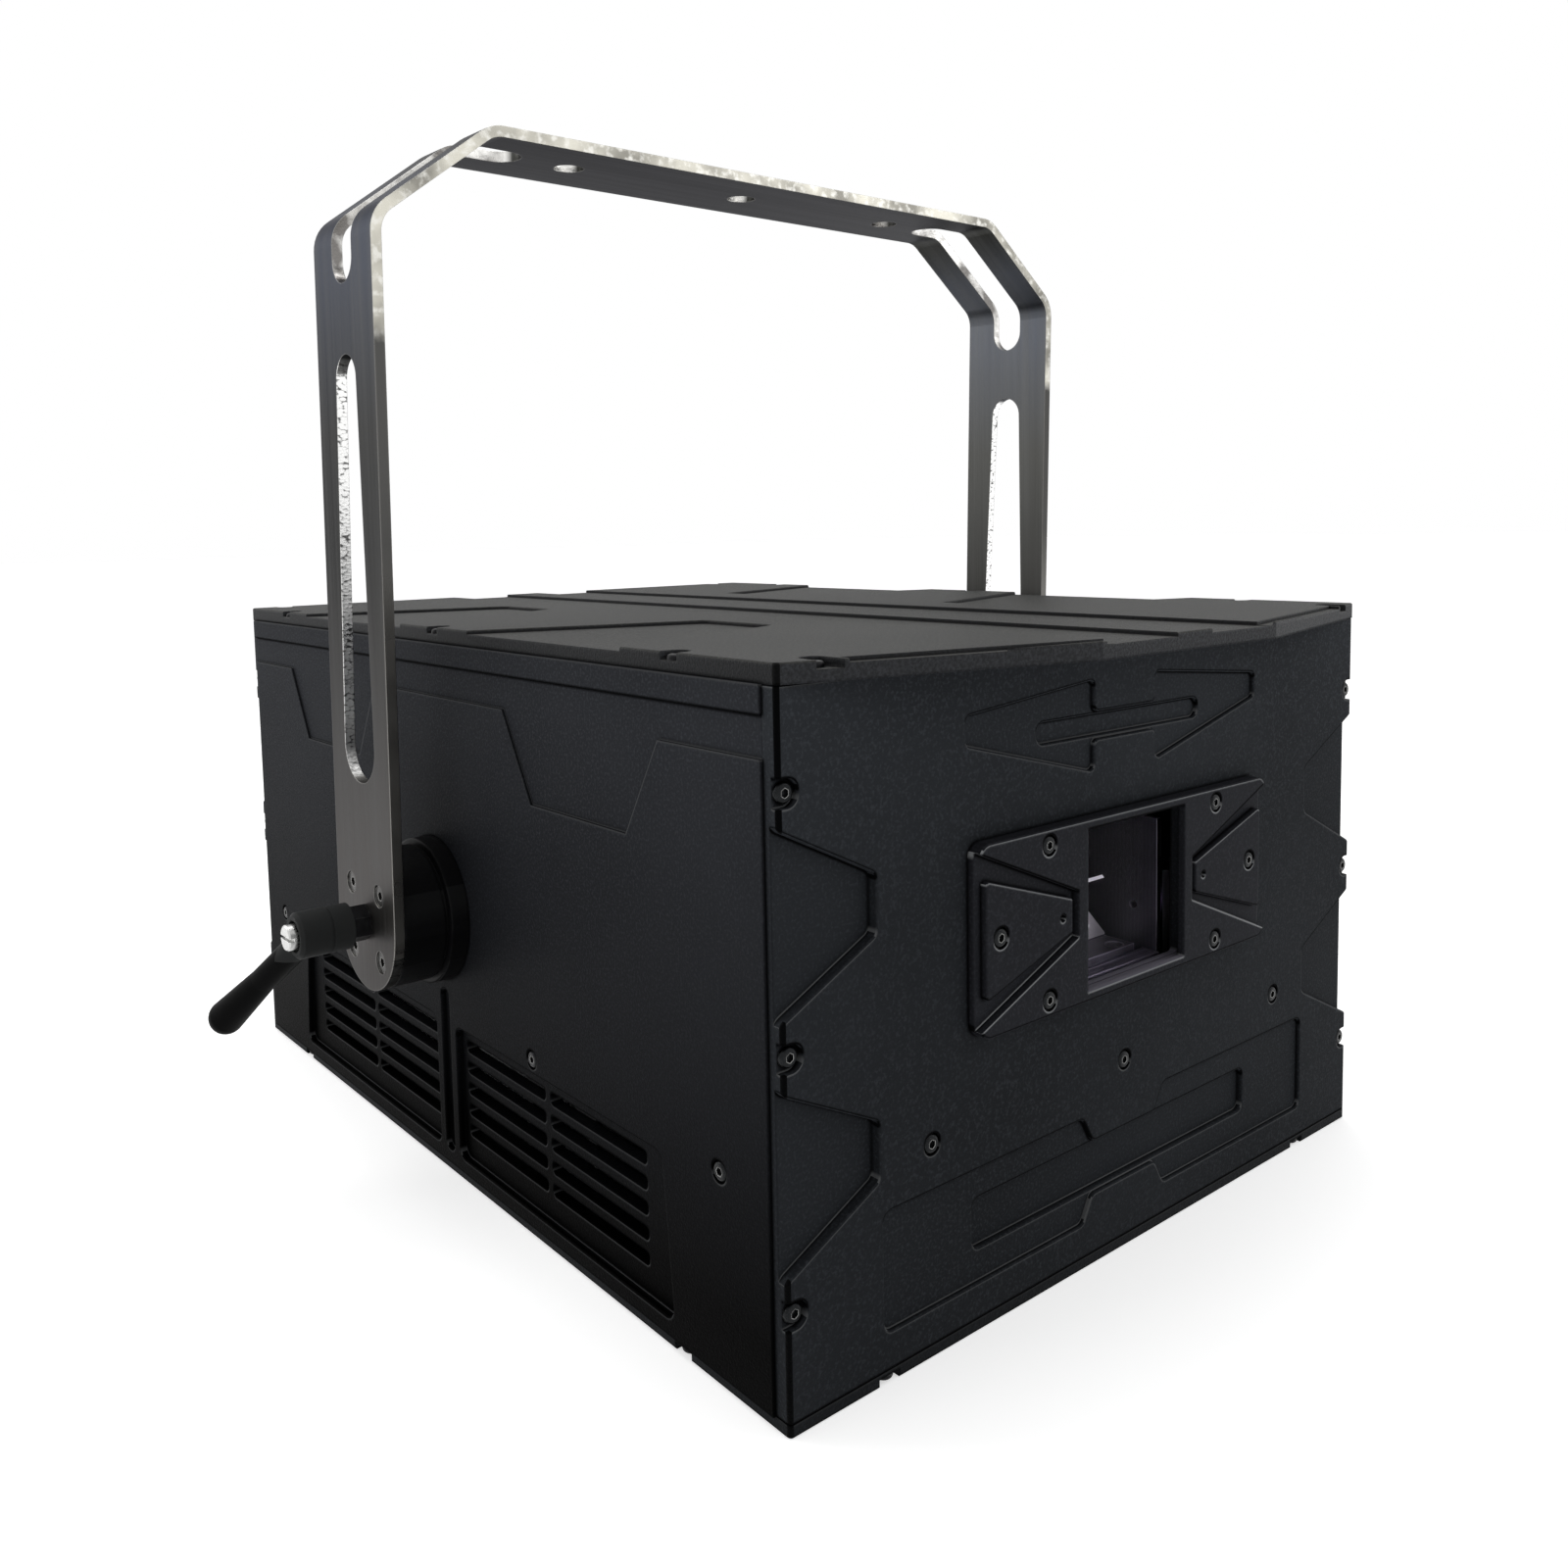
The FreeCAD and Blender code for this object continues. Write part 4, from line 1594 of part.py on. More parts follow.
save("display_glass", display_glass())
save("safety_eye", safety_eye())
for number, x in enumerate(button_spots(), start=1):
    save("menu_button_%d" % number, menu_button(x))
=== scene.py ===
# %% [markdown]
# A show laser in Blender. The solids of the projector come ready-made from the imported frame, so this
# notebook is about how they look: the coats, the bare steel, the glass and the small pieces that a
# person sees from a step away. Each step first says what the real thing is and how it could be made.

# %% Load the frame
import bmesh
import bpy
import math
from mathutils import Matrix, Vector


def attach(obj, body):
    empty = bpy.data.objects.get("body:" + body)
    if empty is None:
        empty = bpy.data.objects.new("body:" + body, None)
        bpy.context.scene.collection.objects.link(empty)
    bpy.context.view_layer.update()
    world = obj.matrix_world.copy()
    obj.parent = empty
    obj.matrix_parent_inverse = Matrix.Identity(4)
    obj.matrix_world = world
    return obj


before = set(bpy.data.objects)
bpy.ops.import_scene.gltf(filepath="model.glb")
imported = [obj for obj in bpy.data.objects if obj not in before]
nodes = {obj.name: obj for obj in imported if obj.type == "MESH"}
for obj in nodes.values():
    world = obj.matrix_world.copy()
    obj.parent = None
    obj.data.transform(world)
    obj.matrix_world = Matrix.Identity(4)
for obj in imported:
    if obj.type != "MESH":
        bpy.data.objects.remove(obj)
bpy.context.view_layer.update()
bpy.ops.object.select_all(action="DESELECT")
MM = 0.001

# %% [markdown]
# Shader maths reads best as plain sums. A small class wraps a node's output, so that `1 - mask` or
# `grain * 0.3` adds the Math node that it needs. Written out as nodes and links, each sum would take
# four lines and hide what is worked out.


# %% Sums of shader sockets
class Wire:
    """An output of a shader node, for use in sums."""

    def __init__(self, tree, socket):
        self.tree = tree
        self.socket = socket

    def sum(self, operation, first, second):
        return self.tree.node("Math", {"operation": operation}, {0: first, 1: second})

    def __add__(self, other):
        return self.sum("ADD", self, other)

    def __sub__(self, other):
        return self.sum("SUBTRACT", self, other)

    def __rsub__(self, other):
        return self.sum("SUBTRACT", other, self)

    def __mul__(self, other):
        return self.sum("MULTIPLY", self, other)

    def __gt__(self, other):
        return self.sum("GREATER_THAN", self, other)

    def __lt__(self, other):
        return self.sum("LESS_THAN", self, other)

    def larger(self, other):
        return self.sum("MAXIMUM", self, other)

    def __abs__(self):
        return self.sum("ABSOLUTE", self, 0.0)

    __radd__ = __add__
    __rmul__ = __mul__


print("sums ready")

# %% [markdown]
# A second class stands for a tree of nodes. One method adds any node: its settings come first, because
# they can change which sockets there are, and then the values of its sockets. Another one tells the rays
# that end in the picture from those that only light things, which the floor and the sky need.


# %% Trees of nodes
class Nodes:
    """A tree of shader nodes."""

    def __init__(self, tree):
        self.tree = tree

    def node(self, kind, settings=None, sockets=None, output=0):
        made = self.tree.nodes.new("ShaderNode" + kind)
        for name, value in (settings or {}).items():
            setattr(made, name, value)
        for name, value in (sockets or {}).items():
            self.feed(made.inputs[name], value)
        return Wire(self, made.outputs[output])

    def feed(self, socket, value):
        if isinstance(value, Wire):
            self.tree.links.new(value.socket, socket)
        else:
            socket.default_value = value

    def seen(self):
        """1 for rays from the camera, a mirror or a pane of glass, and 0 for light that falls on things."""
        direct = self.node("LightPath", output="Is Camera Ray")
        mirrored = self.node("LightPath", output="Is Glossy Ray")
        through = self.node("LightPath", output="Is Transmission Ray")
        return direct.larger(mirrored).larger(through)


print("trees ready")

# %% [markdown]
# A finish is one material. What is the same all over the surface is set on the shader's own sockets.
# What varies, such as grain, brush lines or worn edges, is worked out from the place on the piece in
# metres, so a scale of 1000 means a feature of about a millimetre.


# %% A finish
class Finish(Nodes):
    """One material. Fixed values are given when it is made, varying ones to wear()."""

    def __init__(self, name, **fixed):
        self.material = bpy.data.materials.new(name)
        self.material.use_nodes = True
        super().__init__(self.material.node_tree)
        self.shader = self.tree.nodes["Principled BSDF"]
        self.bevels = {}
        self.wear(**fixed)

    def wear(self, **values):
        for socket, value in values.items():
            self.feed(self.shader.inputs[socket.replace("_", " ")], value)
        return self

    def place(self, stretch=(1.0, 1.0, 1.0)):
        spot = self.node("TexCoord", output="Object")
        return self.node("Mapping", {}, {"Vector": spot, "Scale": stretch})

    def spot(self, axis, vector=None):
        """One coordinate of the place on the piece, or of another vector."""
        source = vector or self.node("TexCoord", output="Object")
        return self.node("SeparateXYZ", {}, {"Vector": source}, axis)

    def facing(self, axis):
        """How far the surface faces along an axis, either way."""
        return abs(self.spot(axis, self.node("TexCoord", output="Normal")))

    def noise(self, scale, detail=2.0, stretch=(1.0, 1.0, 1.0)):
        return self.node("TexNoise", {}, {"Vector": self.place(stretch), "Scale": scale, "Detail": detail})

    def limits(self, value, low, high, bottom=0.0, top=1.0):
        """A value between low and high, stretched to lie between bottom and top and cut off there."""
        span = {"From Min": low, "From Max": high, "To Min": bottom, "To Max": top}
        return self.node("MapRange", {"clamp": True}, {"Value": value, **span})

    def blend(self, mask, first, second):
        """A colour between two others. Each is a wire or three numbers."""
        colours = [c if isinstance(c, Wire) else (*c, 1.0) for c in (first, second)]
        return self.node("Mix", {"data_type": "RGBA"}, {"Factor": mask, 6: colours[0], 7: colours[1]}, 2)

    def scaled(self, colour, factor):
        return self.node("VectorMath", {"operation": "SCALE"}, {0: colour, "Scale": factor})

    def tone(self):
        """The colour given so far, to lay another over it."""
        return Wire(self, self.shader.inputs["Base Color"].links[0].from_socket)

    def rounded(self, radius):
        """Normals of the surface with its edges rounded off. They are slow, so each radius is made once."""
        if radius not in self.bevels:
            self.bevels[radius] = self.node("Bevel", {"samples": 8}, {"Radius": radius * MM})
        return self.bevels[radius]

    def edges(self, width):
        """1 on the outer edges of the piece, which have little stuff behind them and wear first."""
        solid = self.node("AmbientOcclusion", {"inside": True, "only_local": True, "samples": 6},
                          {"Distance": width * MM}, "AO")
        return self.limits(solid, 0.55, 0.9, 1.0, 0.0)

    def crevices(self, width):
        """1 in inner corners and seams, also those against other pieces, where light hardly gets in."""
        open_air = self.node("AmbientOcclusion", {"samples": 4}, {"Distance": width * MM}, "AO")
        return self.limits(open_air, 0.6, 0.92, 1.0, 0.0)

    def bump(self, height, depth, radius=0.5):
        """Normals of a pattern that stands out by a depth in millimetres, on rounded edges."""
        sockets = {"Height": height, "Distance": depth * MM, "Normal": self.rounded(radius)}
        return self.node("Bump", {}, sockets)


print("finishes ready")

# %% [markdown]
# A solid arrives with a plain material of its own. That comes off before the finish goes on. One material
# can go on several pieces, because its patterns follow the place in the frame and not the piece.


# %% Giving a finish
def coat(finish, *names):
    """Gives a finish to CAD nodes or pieces."""
    for name in names:
        piece = nodes[name] if isinstance(name, str) else name
        piece.data.materials.clear()
        piece.data.materials.append(finish.material)
    print(finish.material.name, "on", len(names), "pieces")


def tinted(colour, factor):
    return [v * factor for v in colour]


print(len(nodes), "nodes wait for a finish")

# %% [markdown]
# The case is milled aluminium under a black powder coat. The coat has a fine sand texture: grains of
# about half a millimetre that break up the highlights but never show in the outline. A photograph of
# the coat would repeat and would belong to one panel only, so the grain is noise in two sizes. Edges
# that look up get a pale line, a painted highlight of the light from above mixed with worn coat, most
# of all on the beam frame, while edges that look down, inner corners and seams are painted black,
# painted shade. Rounded normals tell which way an edge looks. The panels get darker towards the floor,
# as they do in the photograph, so the colour fades between two heights: painted shade.


# %% Black powder coat
SAND, DIMPLES, CLOUDS = 1500.0, 800.0, 7.0
EDGE_LINE = 1.5
SEAM_LINE = 1.6
EVEN = (0.0, 0.27, 1.0, 1.0)
# The near black below is painted shade, laid in creases, on corners, in the cover's corners and behind the
# sill.
SHADE_BLACK = (0.0015, 0.0016, 0.0018)


def powder_coat(name, colour, rough, specular, grain=0.3, fleck=1.7, rim=0.03, fall=EVEN):
    """Rim is the grey of the pale line on up-facing edges, a painted highlight with some wear, and fall two
    heights in metres with the colour's strength there, a painted shade towards the floor.
    """
    finish = Finish(name, Specular_IOR_Level=specular)
    sand = finish.noise(SAND, 3.0)
    dimples = finish.noise(DIMPLES, 2.0)
    clouds = finish.noise(CLOUDS, 4.0)
    upright = finish.facing("Z") < 0.5
    lean = finish.spot("Z", finish.rounded(EDGE_LINE))
    # Edges that look up get a pale painted highlight, mottled like wear, and edges that look down and inner
    # corners turn black, painted shade.
    lit = upright * finish.limits(lean, 0.06, 0.3)
    shaded_crease = finish.crevices(SEAM_LINE).larger(upright * finish.limits(lean, -0.02, -0.12))
    rubbed_and_lit = lit * finish.limits(clouds, 0.2, 0.8, 0.5, 1.0)
    shade = finish.blend(finish.limits(clouds, 0.3, 0.7), tinted(colour, 0.8), tinted(colour, 1.2))
    shade = finish.blend(finish.limits(dimples, 0.5, 0.7), shade, tinted(colour, fleck))
    # The colour fades with height, a painted shade that darkens the panels towards the floor.
    shade = finish.scaled(shade, finish.limits(finish.spot("Z"), *fall))
    shade = finish.blend(shaded_crease, shade, SHADE_BLACK)
    shade = finish.blend(rubbed_and_lit, shade, (rim, rim * 1.03, rim * 1.06))
    gloss = finish.limits(sand, 0.3, 0.7, rough + 0.07, rough - 0.07) - lit * 0.15 + shaded_crease * 0.3
    grit = finish.bump(sand * 0.5 + dimples * 0.5, grain, EDGE_LINE)
    return finish.wear(Base_Color=shade, Roughness=gloss, Normal=grit)


print("powder coat with lines of", EDGE_LINE, "mm on its edges")

# %% [markdown]
# The coat differs in three places. The upright corners of the case are painted blacker than its faces,
# painted shade. On the cover, the faces that don't look up are painted darker than its top, the sides
# most, with black in its inner corners, painted shade. The sill of the beam window is painted a pale
# violet grey where it looks up, painted light, with a black painted shadow along its inner edge.
# Separate materials would need the solids to be cut up, so each place is found by its numbers, and
# another colour is laid over the coat there.


# %% Corners, rim and sill
CORNER_X, CORNER_Y = 188.3, 255.3
SILL_HALF_W, SILL_HALF_H = 38.5, 2.0
SILL_Z = 122.5
SILL_JOINT, JOINT_HALF = -256.6, 0.35
SILL_SEAM = 250.3


def shaded_corners(finish):
    """Paints the rounded upright corners of the case black, with more Metallic there so they mirror less:
    painted shade.
    """
    corner = (abs(finish.spot("X")) > CORNER_X * MM) * (abs(finish.spot("Y")) > CORNER_Y * MM)
    return finish.wear(Base_Color=finish.blend(corner, finish.tone(), SHADE_BLACK), Metallic=corner * 0.7)


def shaded_rim(finish):
    """Paints what doesn't look up darker, the sides most, and the inner corners black: painted shade round
    the cover.
    """
    rim = finish.blend(finish.facing("Y") > 0.5, (0.0050, 0.0055, 0.0066), (0.0200, 0.0210, 0.0235))
    flecks = finish.limits(finish.noise(DIMPLES, 2.0), 0.4, 0.65, 0.7, 1.5)
    rim = finish.blend(finish.crevices(2.0), finish.scaled(rim, flecks), SHADE_BLACK)
    return finish.wear(Base_Color=finish.blend(finish.facing("Z") > 0.5, rim, finish.tone()))


def lit_sill(finish):
    """Paints the up-facing sill violet grey, painted light, in two strips with a dark joint between them,
    and its inner edge black, a painted shadow.
    """
    across = abs(finish.spot("X")) < SILL_HALF_W * MM
    inside = across * (abs(finish.spot("Z") - SILL_Z * MM) < SILL_HALF_H * MM)
    upward = finish.spot("Z", finish.node("TexCoord", output="Normal")) > 0.5
    depth = finish.spot("Y")
    joint = abs(depth - SILL_JOINT * MM) < JOINT_HALF * MM
    grey = finish.blend(depth < SILL_JOINT * MM, (0.165, 0.156, 0.19), (0.205, 0.195, 0.232))
    grey = finish.blend(joint, grey, (0.07, 0.066, 0.08))
    # The black on the inner edge of the sill is a painted shadow.
    grey = finish.blend(abs(depth) < SILL_SEAM * MM, grey, SHADE_BLACK)
    return finish.wear(Base_Color=finish.blend(inside * upward, finish.tone(), grey))


print("sill at a height of", SILL_Z, "mm")

# %% [markdown]
# Six coats dress the case. They differ a little: the end panels are bluish, the cover is coarse and
# warm, and the hubs are nearly smooth. The end panels, side panels and base get tones of their own for
# how brightly each is lit, lit and shaded copies of one coat. All are dull, because a gloss that
# mirrored the white sky would wash out the dark lines.

# %% Coats of the case
# The tones of the end panels, side panels and base stand in for how each is lit, and their last numbers
# paint shade towards the floor.
end_coat = powder_coat("end_panel_coat", (0.0180, 0.0198, 0.0226), 0.54, 0.02, rim=0.12,
                       fall=(0.17, 0.262, 0.95, 1.46))
coat(shaded_corners(lit_sill(end_coat)), "front_panel", "rear_panel")
side_coat = powder_coat("side_panel_coat", (0.0108, 0.0115, 0.0133), 0.52, 0.015, rim=0.07,
                        fall=(0.03, 0.24, 0.0, 2.25))
coat(side_coat, "left_side_panel", "right_side_panel")
base_coat = powder_coat("base_coat", (0.0070, 0.0080, 0.0095), 0.52, 0.04)
coat(shaded_corners(base_coat), "base_plate")
cover_coat = powder_coat("cover_coat", (0.0155, 0.0155, 0.0145), 0.60, 0.155, 0.5, 2.6, 0.05)
coat(shaded_corners(shaded_rim(cover_coat)), "top_cover")
aperture_coat = powder_coat("aperture_coat", (0.0188, 0.0196, 0.0232), 0.48, 0.02, 0.16, 1.5, 0.36)
coat(lit_sill(aperture_coat), "aperture_frame", "left_wing_plate", "right_wing_plate")
hub_coat = powder_coat("hub_coat", (0.003, 0.003, 0.0034), 0.5, 0.05, 0.08, 1.5, 0.012)
coat(hub_coat, "left_hub_flange", "right_hub_flange", "left_yoke_hub", "right_yoke_hub")

# %% [markdown]
# The yoke is one strap of dark rolled stainless steel, bent twice on each side. Four surfaces differ. The
# broad faces keep the brush lines of the mill along the strap, and the heat of the bends has turned them
# slightly blue near the shoulders. The long edges are ground smooth; from the shoulders up they are
# painted a bright grey, a painted reflection mixed with scuffs. The walls of the bent slots are polished,
# and their mottle of bright and dark is a painted reflection. The walls of the straight arm slots keep
# the sparkling ripples of the cutting beam. The strap bends only in the plane across the projector, so
# cut faces are those that don't look along that plane, and the place on the strap tells the kinds of cut
# face apart. Rolled steel is a dull mirror, so its tint at flat angles is held down too. Heights are in
# metres here, because they compare places on the piece.


# %% Steel of the yoke
SHOULDER = 0.42
SLOT_HALF_W = 0.0255
RIPPLE = (420.0, 420.0, 800.0)


def rolled_face(finish, height, brush):
    """Dark scale, blue at the shoulders and paler towards the hubs, with brush lines along the strap."""
    bands = finish.noise(1.0, 4.0, (5.0, 130.0, 5.0))
    tone = finish.blend(finish.limits(height, 0.36, 0.43), (0.058, 0.058, 0.054), (0.066, 0.072, 0.086))
    tone = finish.blend(finish.limits(height, 0.31, 0.14), tone, (0.112, 0.106, 0.098))
    tone = finish.blend(finish.limits(height, 0.47, 0.49), tone, (0.044, 0.044, 0.039))
    lines = finish.limits(brush * 0.5 + bands * 0.5, 0.3, 0.7, 0.0, 0.55)
    return finish.blend(lines, tone, (0.125, 0.125, 0.122))


def ground_edge(finish, height):
    """Long edges: dark and smooth on the arms, and from the shoulders up a warm bright grey, a painted
    reflection mixed with scuffs.
    """
    patches = finish.noise(28.0, 4.0)
    scuffs = finish.noise(220.0, 5.0)
    calm = finish.blend(finish.limits(height, 0.31, 0.27), (0.085, 0.084, 0.081), (0.16, 0.155, 0.145))
    bright = finish.blend(finish.limits(patches, 0.4, 0.62), (0.27, 0.26, 0.23), (0.68, 0.66, 0.58))
    bright = finish.blend(finish.limits(scuffs, 0.5, 0.66, 0.0, 0.7), bright, (0.86, 0.85, 0.80))
    # The bright grey from the shoulders up is a painted reflection, with scuffs in it.
    rubbed_and_lit = finish.limits(height + finish.noise(60.0, 3.0) * 0.03, 0.408, SHOULDER)
    return finish.blend(rubbed_and_lit, calm, bright)


def slot_wall(finish, height, ripple):
    """Cut by a beam in the arms, polished round the bends, where the mottle of bright and dark is a painted
    reflection.
    """
    arm = finish.blend(finish.limits(ripple, 0.58, 0.84), (1.0, 1.0, 0.99), (0.12, 0.12, 0.12))
    arm = finish.blend(finish.limits(height, 0.18, 0.24), (0.07, 0.07, 0.068), arm)
    # The mottle of bright and dark on the bends is a painted reflection.
    mottled_reflection = finish.limits(finish.noise(70.0, 4.0), 0.4, 0.6)
    bend = finish.blend(mottled_reflection, (0.90, 0.89, 0.86), (0.22, 0.21, 0.20))
    return finish.blend(height < SHOULDER, bend, arm)


def strap_steel(name):
    finish = Finish(name, Metallic=1.0, Specular_Tint=(0.42, 0.42, 0.44, 1.0))
    height = finish.spot("Z")
    brush = finish.noise(1.0, 5.0, (6.0, 1100.0, 6.0))
    ripple = finish.node("TexVoronoi", {}, {"Vector": finish.place(RIPPLE), "Scale": 1.0}, "Distance")
    slot = abs(finish.spot("Y")) < SLOT_HALF_W
    cut = finish.limits(finish.facing("Y"), 0.4, 0.7)
    cut_face = finish.blend(slot, ground_edge(finish, height), slot_wall(finish, height, ripple))
    tone = finish.blend(cut, rolled_face(finish, height, brush), cut_face)
    tone = finish.blend(finish.edges(0.7) * 0.3, tone, (0.42, 0.41, 0.39))
    gloss = finish.limits(brush, 0.25, 0.75, 0.32, 0.46) - cut * 0.1
    lines = finish.bump(brush * (1.0 - cut) + ripple * cut * slot * 2.0, 0.03, 0.6)
    return finish.wear(Base_Color=tone, Roughness=gloss, Normal=lines)


coat(strap_steel("strap_steel"), "yoke")

# %% [markdown]
# Small metal parts differ in colour and gloss, but all have a haze, fine scratches and paler edges, so
# one recipe makes them all. Case screws are blackened, with the steel grinning through on the corners of
# the head. Bolts, eyes and shafts are bright zinc or stainless. The lock is nickel on brass, which is a
# little warmer, and the scan motors are anodised black.


# %% Small metal
def small_metal(name, colour, worn, rough):
    finish = Finish(name, Metallic=1.0)
    haze = finish.noise(300.0, 4.0)
    scratches = finish.noise(1.0, 5.0, (500.0, 90.0, 2600.0))
    tone = finish.blend(finish.limits(haze, 0.3, 0.7), tinted(colour, 0.75), colour)
    tone = finish.blend(finish.edges(0.3), tone, worn)
    gloss = finish.limits(scratches + haze, 0.7, 1.3, rough - 0.08, rough + 0.1)
    return finish.wear(Base_Color=tone, Roughness=gloss, Normal=finish.bump(scratches, 0.006, 0.3))


blackened = small_metal("blackened_screws", (0.014, 0.015, 0.016), (0.42, 0.42, 0.41), 0.34)
bright = small_metal("bright_steel", (0.60, 0.60, 0.59), (0.85, 0.85, 0.84), 0.26)
coat(blackened, "front_panel_screws", "rear_panel_screws", "side_panel_screws", "aperture_screws",
     "flange_screws")
coat(small_metal("dull_screws", (0.016, 0.016, 0.017), (0.10, 0.10, 0.10), 0.45), "cover_screws",
     "base_screws", "left_lever_insert", "right_lever_insert")
coat(small_metal("arm_screws", (0.09, 0.088, 0.085), (0.5, 0.49, 0.47), 0.4), "yoke_hub_screws")
coat(bright, "pivot_bolts", "left_lever_screw", "right_lever_screw", "safety_eye", "show_sockets",
     "vertical_scan_shaft", "horizontal_scan_shaft")
coat(small_metal("lock_nickel", (0.62, 0.59, 0.53), (0.8, 0.78, 0.72), 0.24), "key_barrel", "key")
coat(small_metal("motor_black", (0.05, 0.05, 0.053), (0.3, 0.3, 0.3), 0.4), "galvo_motors")

# %% [markdown]
# The clamp levers are glass-filled nylon: black, matt, with a faint spark-eroded grain from the mould
# and short pale streaks of glass fibre. The hub of a lever is painted a lighter grey than its arm, a
# painted highlight. Fan frames and sockets are the same stuff in a plainer mould, and the rocker and the
# buttons are polished. One recipe with another grain and gloss serves them all.


# %% Black plastics
LEVER_Y, LEVER_Z = 5.0, 133.0
LEVER_HUB = 14.0


def moulded(name, colour, rough, grain, specular=0.35):
    finish = Finish(name, Specular_IOR_Level=specular)
    spark = finish.noise(1700.0, 2.0)
    fibres = finish.noise(1.0, 2.0, (2400.0, 300.0, 300.0))
    shade = finish.blend(finish.limits(fibres, 0.62, 0.8), colour, tinted(colour, 2.0))
    gloss = finish.limits(spark, 0.3, 0.7, rough - 0.05, rough + 0.07)
    return finish.wear(Base_Color=shade, Roughness=gloss, Normal=finish.bump(spark, grain, 0.5))


def lit_hub(finish):
    """Paints what lies near the axis of a lever a lighter grey, a painted highlight."""
    off_axis = abs(finish.spot("Y") - LEVER_Y * MM).larger(abs(finish.spot("Z") - LEVER_Z * MM))
    hub = off_axis < LEVER_HUB * MM
    return finish.wear(Base_Color=finish.blend(hub, finish.tone(), (0.026, 0.027, 0.027)))


lever_nylon = moulded("lever_nylon", (0.0012, 0.0013, 0.0013), 0.45, 0.05, 0.02)
coat(lit_hub(lever_nylon), "left_clamp_handle", "right_clamp_handle")
coat(moulded("fan_plastic", (0.012, 0.012, 0.013), 0.5, 0.04), "fan_frames", "left_fan_rotor",
     "right_fan_rotor")
coat(moulded("polished_plastic", (0.010, 0.010, 0.011), 0.16, 0.004), "switch_frame", "switch_rocker",
     *("menu_button_%d" % number for number in range(1, 5)))

# %% [markdown]
# Mains inlet, data sockets and network socket are moulded shells with metal pins. The pins belong to
# the same solids, so the finish finds them by place: whatever stands clear of the floor of a mouth and
# clear of its walls is a pin. A mask like this costs nothing and can't come loose from the solid.


# %% Sockets with pins
INLET_X = -130
DATA_XS = (-52, -22)
LOW_Z = 41.25
MOUTH_FLOOR = 244.3
SHELL = ((0.011, 0.011, 0.012), 0.45, 0.04)


def pinned(name, places, half_w, half_h):
    """Black plastic, but metal inside boxes round the places and in front of the mouth's floor."""
    finish = moulded(name, *SHELL)
    x, y, z = (finish.spot(axis) for axis in "XYZ")
    pins = 0.0
    for place in places:
        inside = (abs(x - place * MM) < half_w * MM) * (abs(z - LOW_Z * MM) < half_h * MM)
        pins = inside + pins
    pins = pins * (y > MOUTH_FLOOR * MM)
    return finish.wear(Base_Color=finish.blend(pins, finish.tone(), (0.66, 0.62, 0.52)), Metallic=pins)


coat(pinned("inlet_shell", [INLET_X], 11.0, 7.0), "mains_inlet")
coat(pinned("data_shell", DATA_XS, 6.2, 6.2), "data_sockets")
coat(moulded("network_shell", *SHELL), "network_socket")

# %% [markdown]
# The window is float glass with a coating against reflections, so it shows almost no mirror image and
# only a breath of violet. It needs no bump and no dirt, because dust on this window would burn. It is
# bedded on a thin foam gasket. The pores of the foam are the cells of a Voronoi pattern.

# %% Window and gasket
window = Finish("window_glass", Transmission_Weight=1.0, IOR=1.04, Roughness=0.0, Specular_IOR_Level=0.3)
window.wear(Base_Color=window.blend(window.noise(9.0, 1.0), (0.90, 0.88, 0.95), (0.95, 0.93, 0.98)))
coat(window, "window_glass")
rubber = Finish("foam_gasket", Roughness=0.8, Specular_IOR_Level=0.2)
pores = rubber.node("TexVoronoi", {}, {"Vector": rubber.place(), "Scale": 1400.0}, "Distance")
rubber.wear(Base_Color=rubber.blend(pores, (0.006, 0.006, 0.006), (0.02, 0.02, 0.021)),
            Normal=rubber.bump(pores, 0.12, 0.3))
coat(rubber, "window_seal")

# %% [markdown]
# The two scan mirrors behind the window are polished silicon with ground white rims. They stand at a
# slant, so the signs of the normal tell a rim from a face. The mirrors that join the beams pass one
# colour and throw back the others, here a blend of rose and blue across the pane.

# %% Mirrors
polished = Finish("scan_mirror")
haze = polished.noise(600.0, 3.0)
way = polished.node("TexCoord", output="Normal")
slants = [polished.spot(axis, way) for axis in "XYZ"]
rims = (abs(slants[0]) > 0.9).larger(abs(slants[1]) > 0.9)
rims = rims.larger(slants[0] * slants[2] < -0.2).larger(slants[1] * slants[2] < -0.2)
face = polished.blend(haze, (0.84, 0.85, 0.87), (0.93, 0.93, 0.94))
polished.wear(Base_Color=polished.blend(rims, face, (0.9, 0.9, 0.9)), Metallic=1.0 - rims,
              Roughness=polished.limits(haze, 0.3, 0.8, 0.03, 0.12) + rims * 0.5)
coat(polished, "vertical_scan_mirror", "horizontal_scan_mirror")
dichroic = Finish("beam_joining_glass", Metallic=0.7)
sheen = dichroic.noise(60.0, 1.0)
dichroic.wear(Base_Color=dichroic.blend(sheen, (0.75, 0.35, 0.62), (0.30, 0.45, 0.85)),
              Roughness=dichroic.limits(sheen, 0.3, 0.7, 0.05, 0.12))
coat(dichroic, "dichroic_mirrors")

# %% [markdown]
# Everything on the optical deck is aluminium that shows the faint swirls of the milling cutter. Rings of a
# wave pattern, bent by noise, give them. The deck and the laser heads are anodised in a clear grey, and
# the mirror mounts black, against stray light.


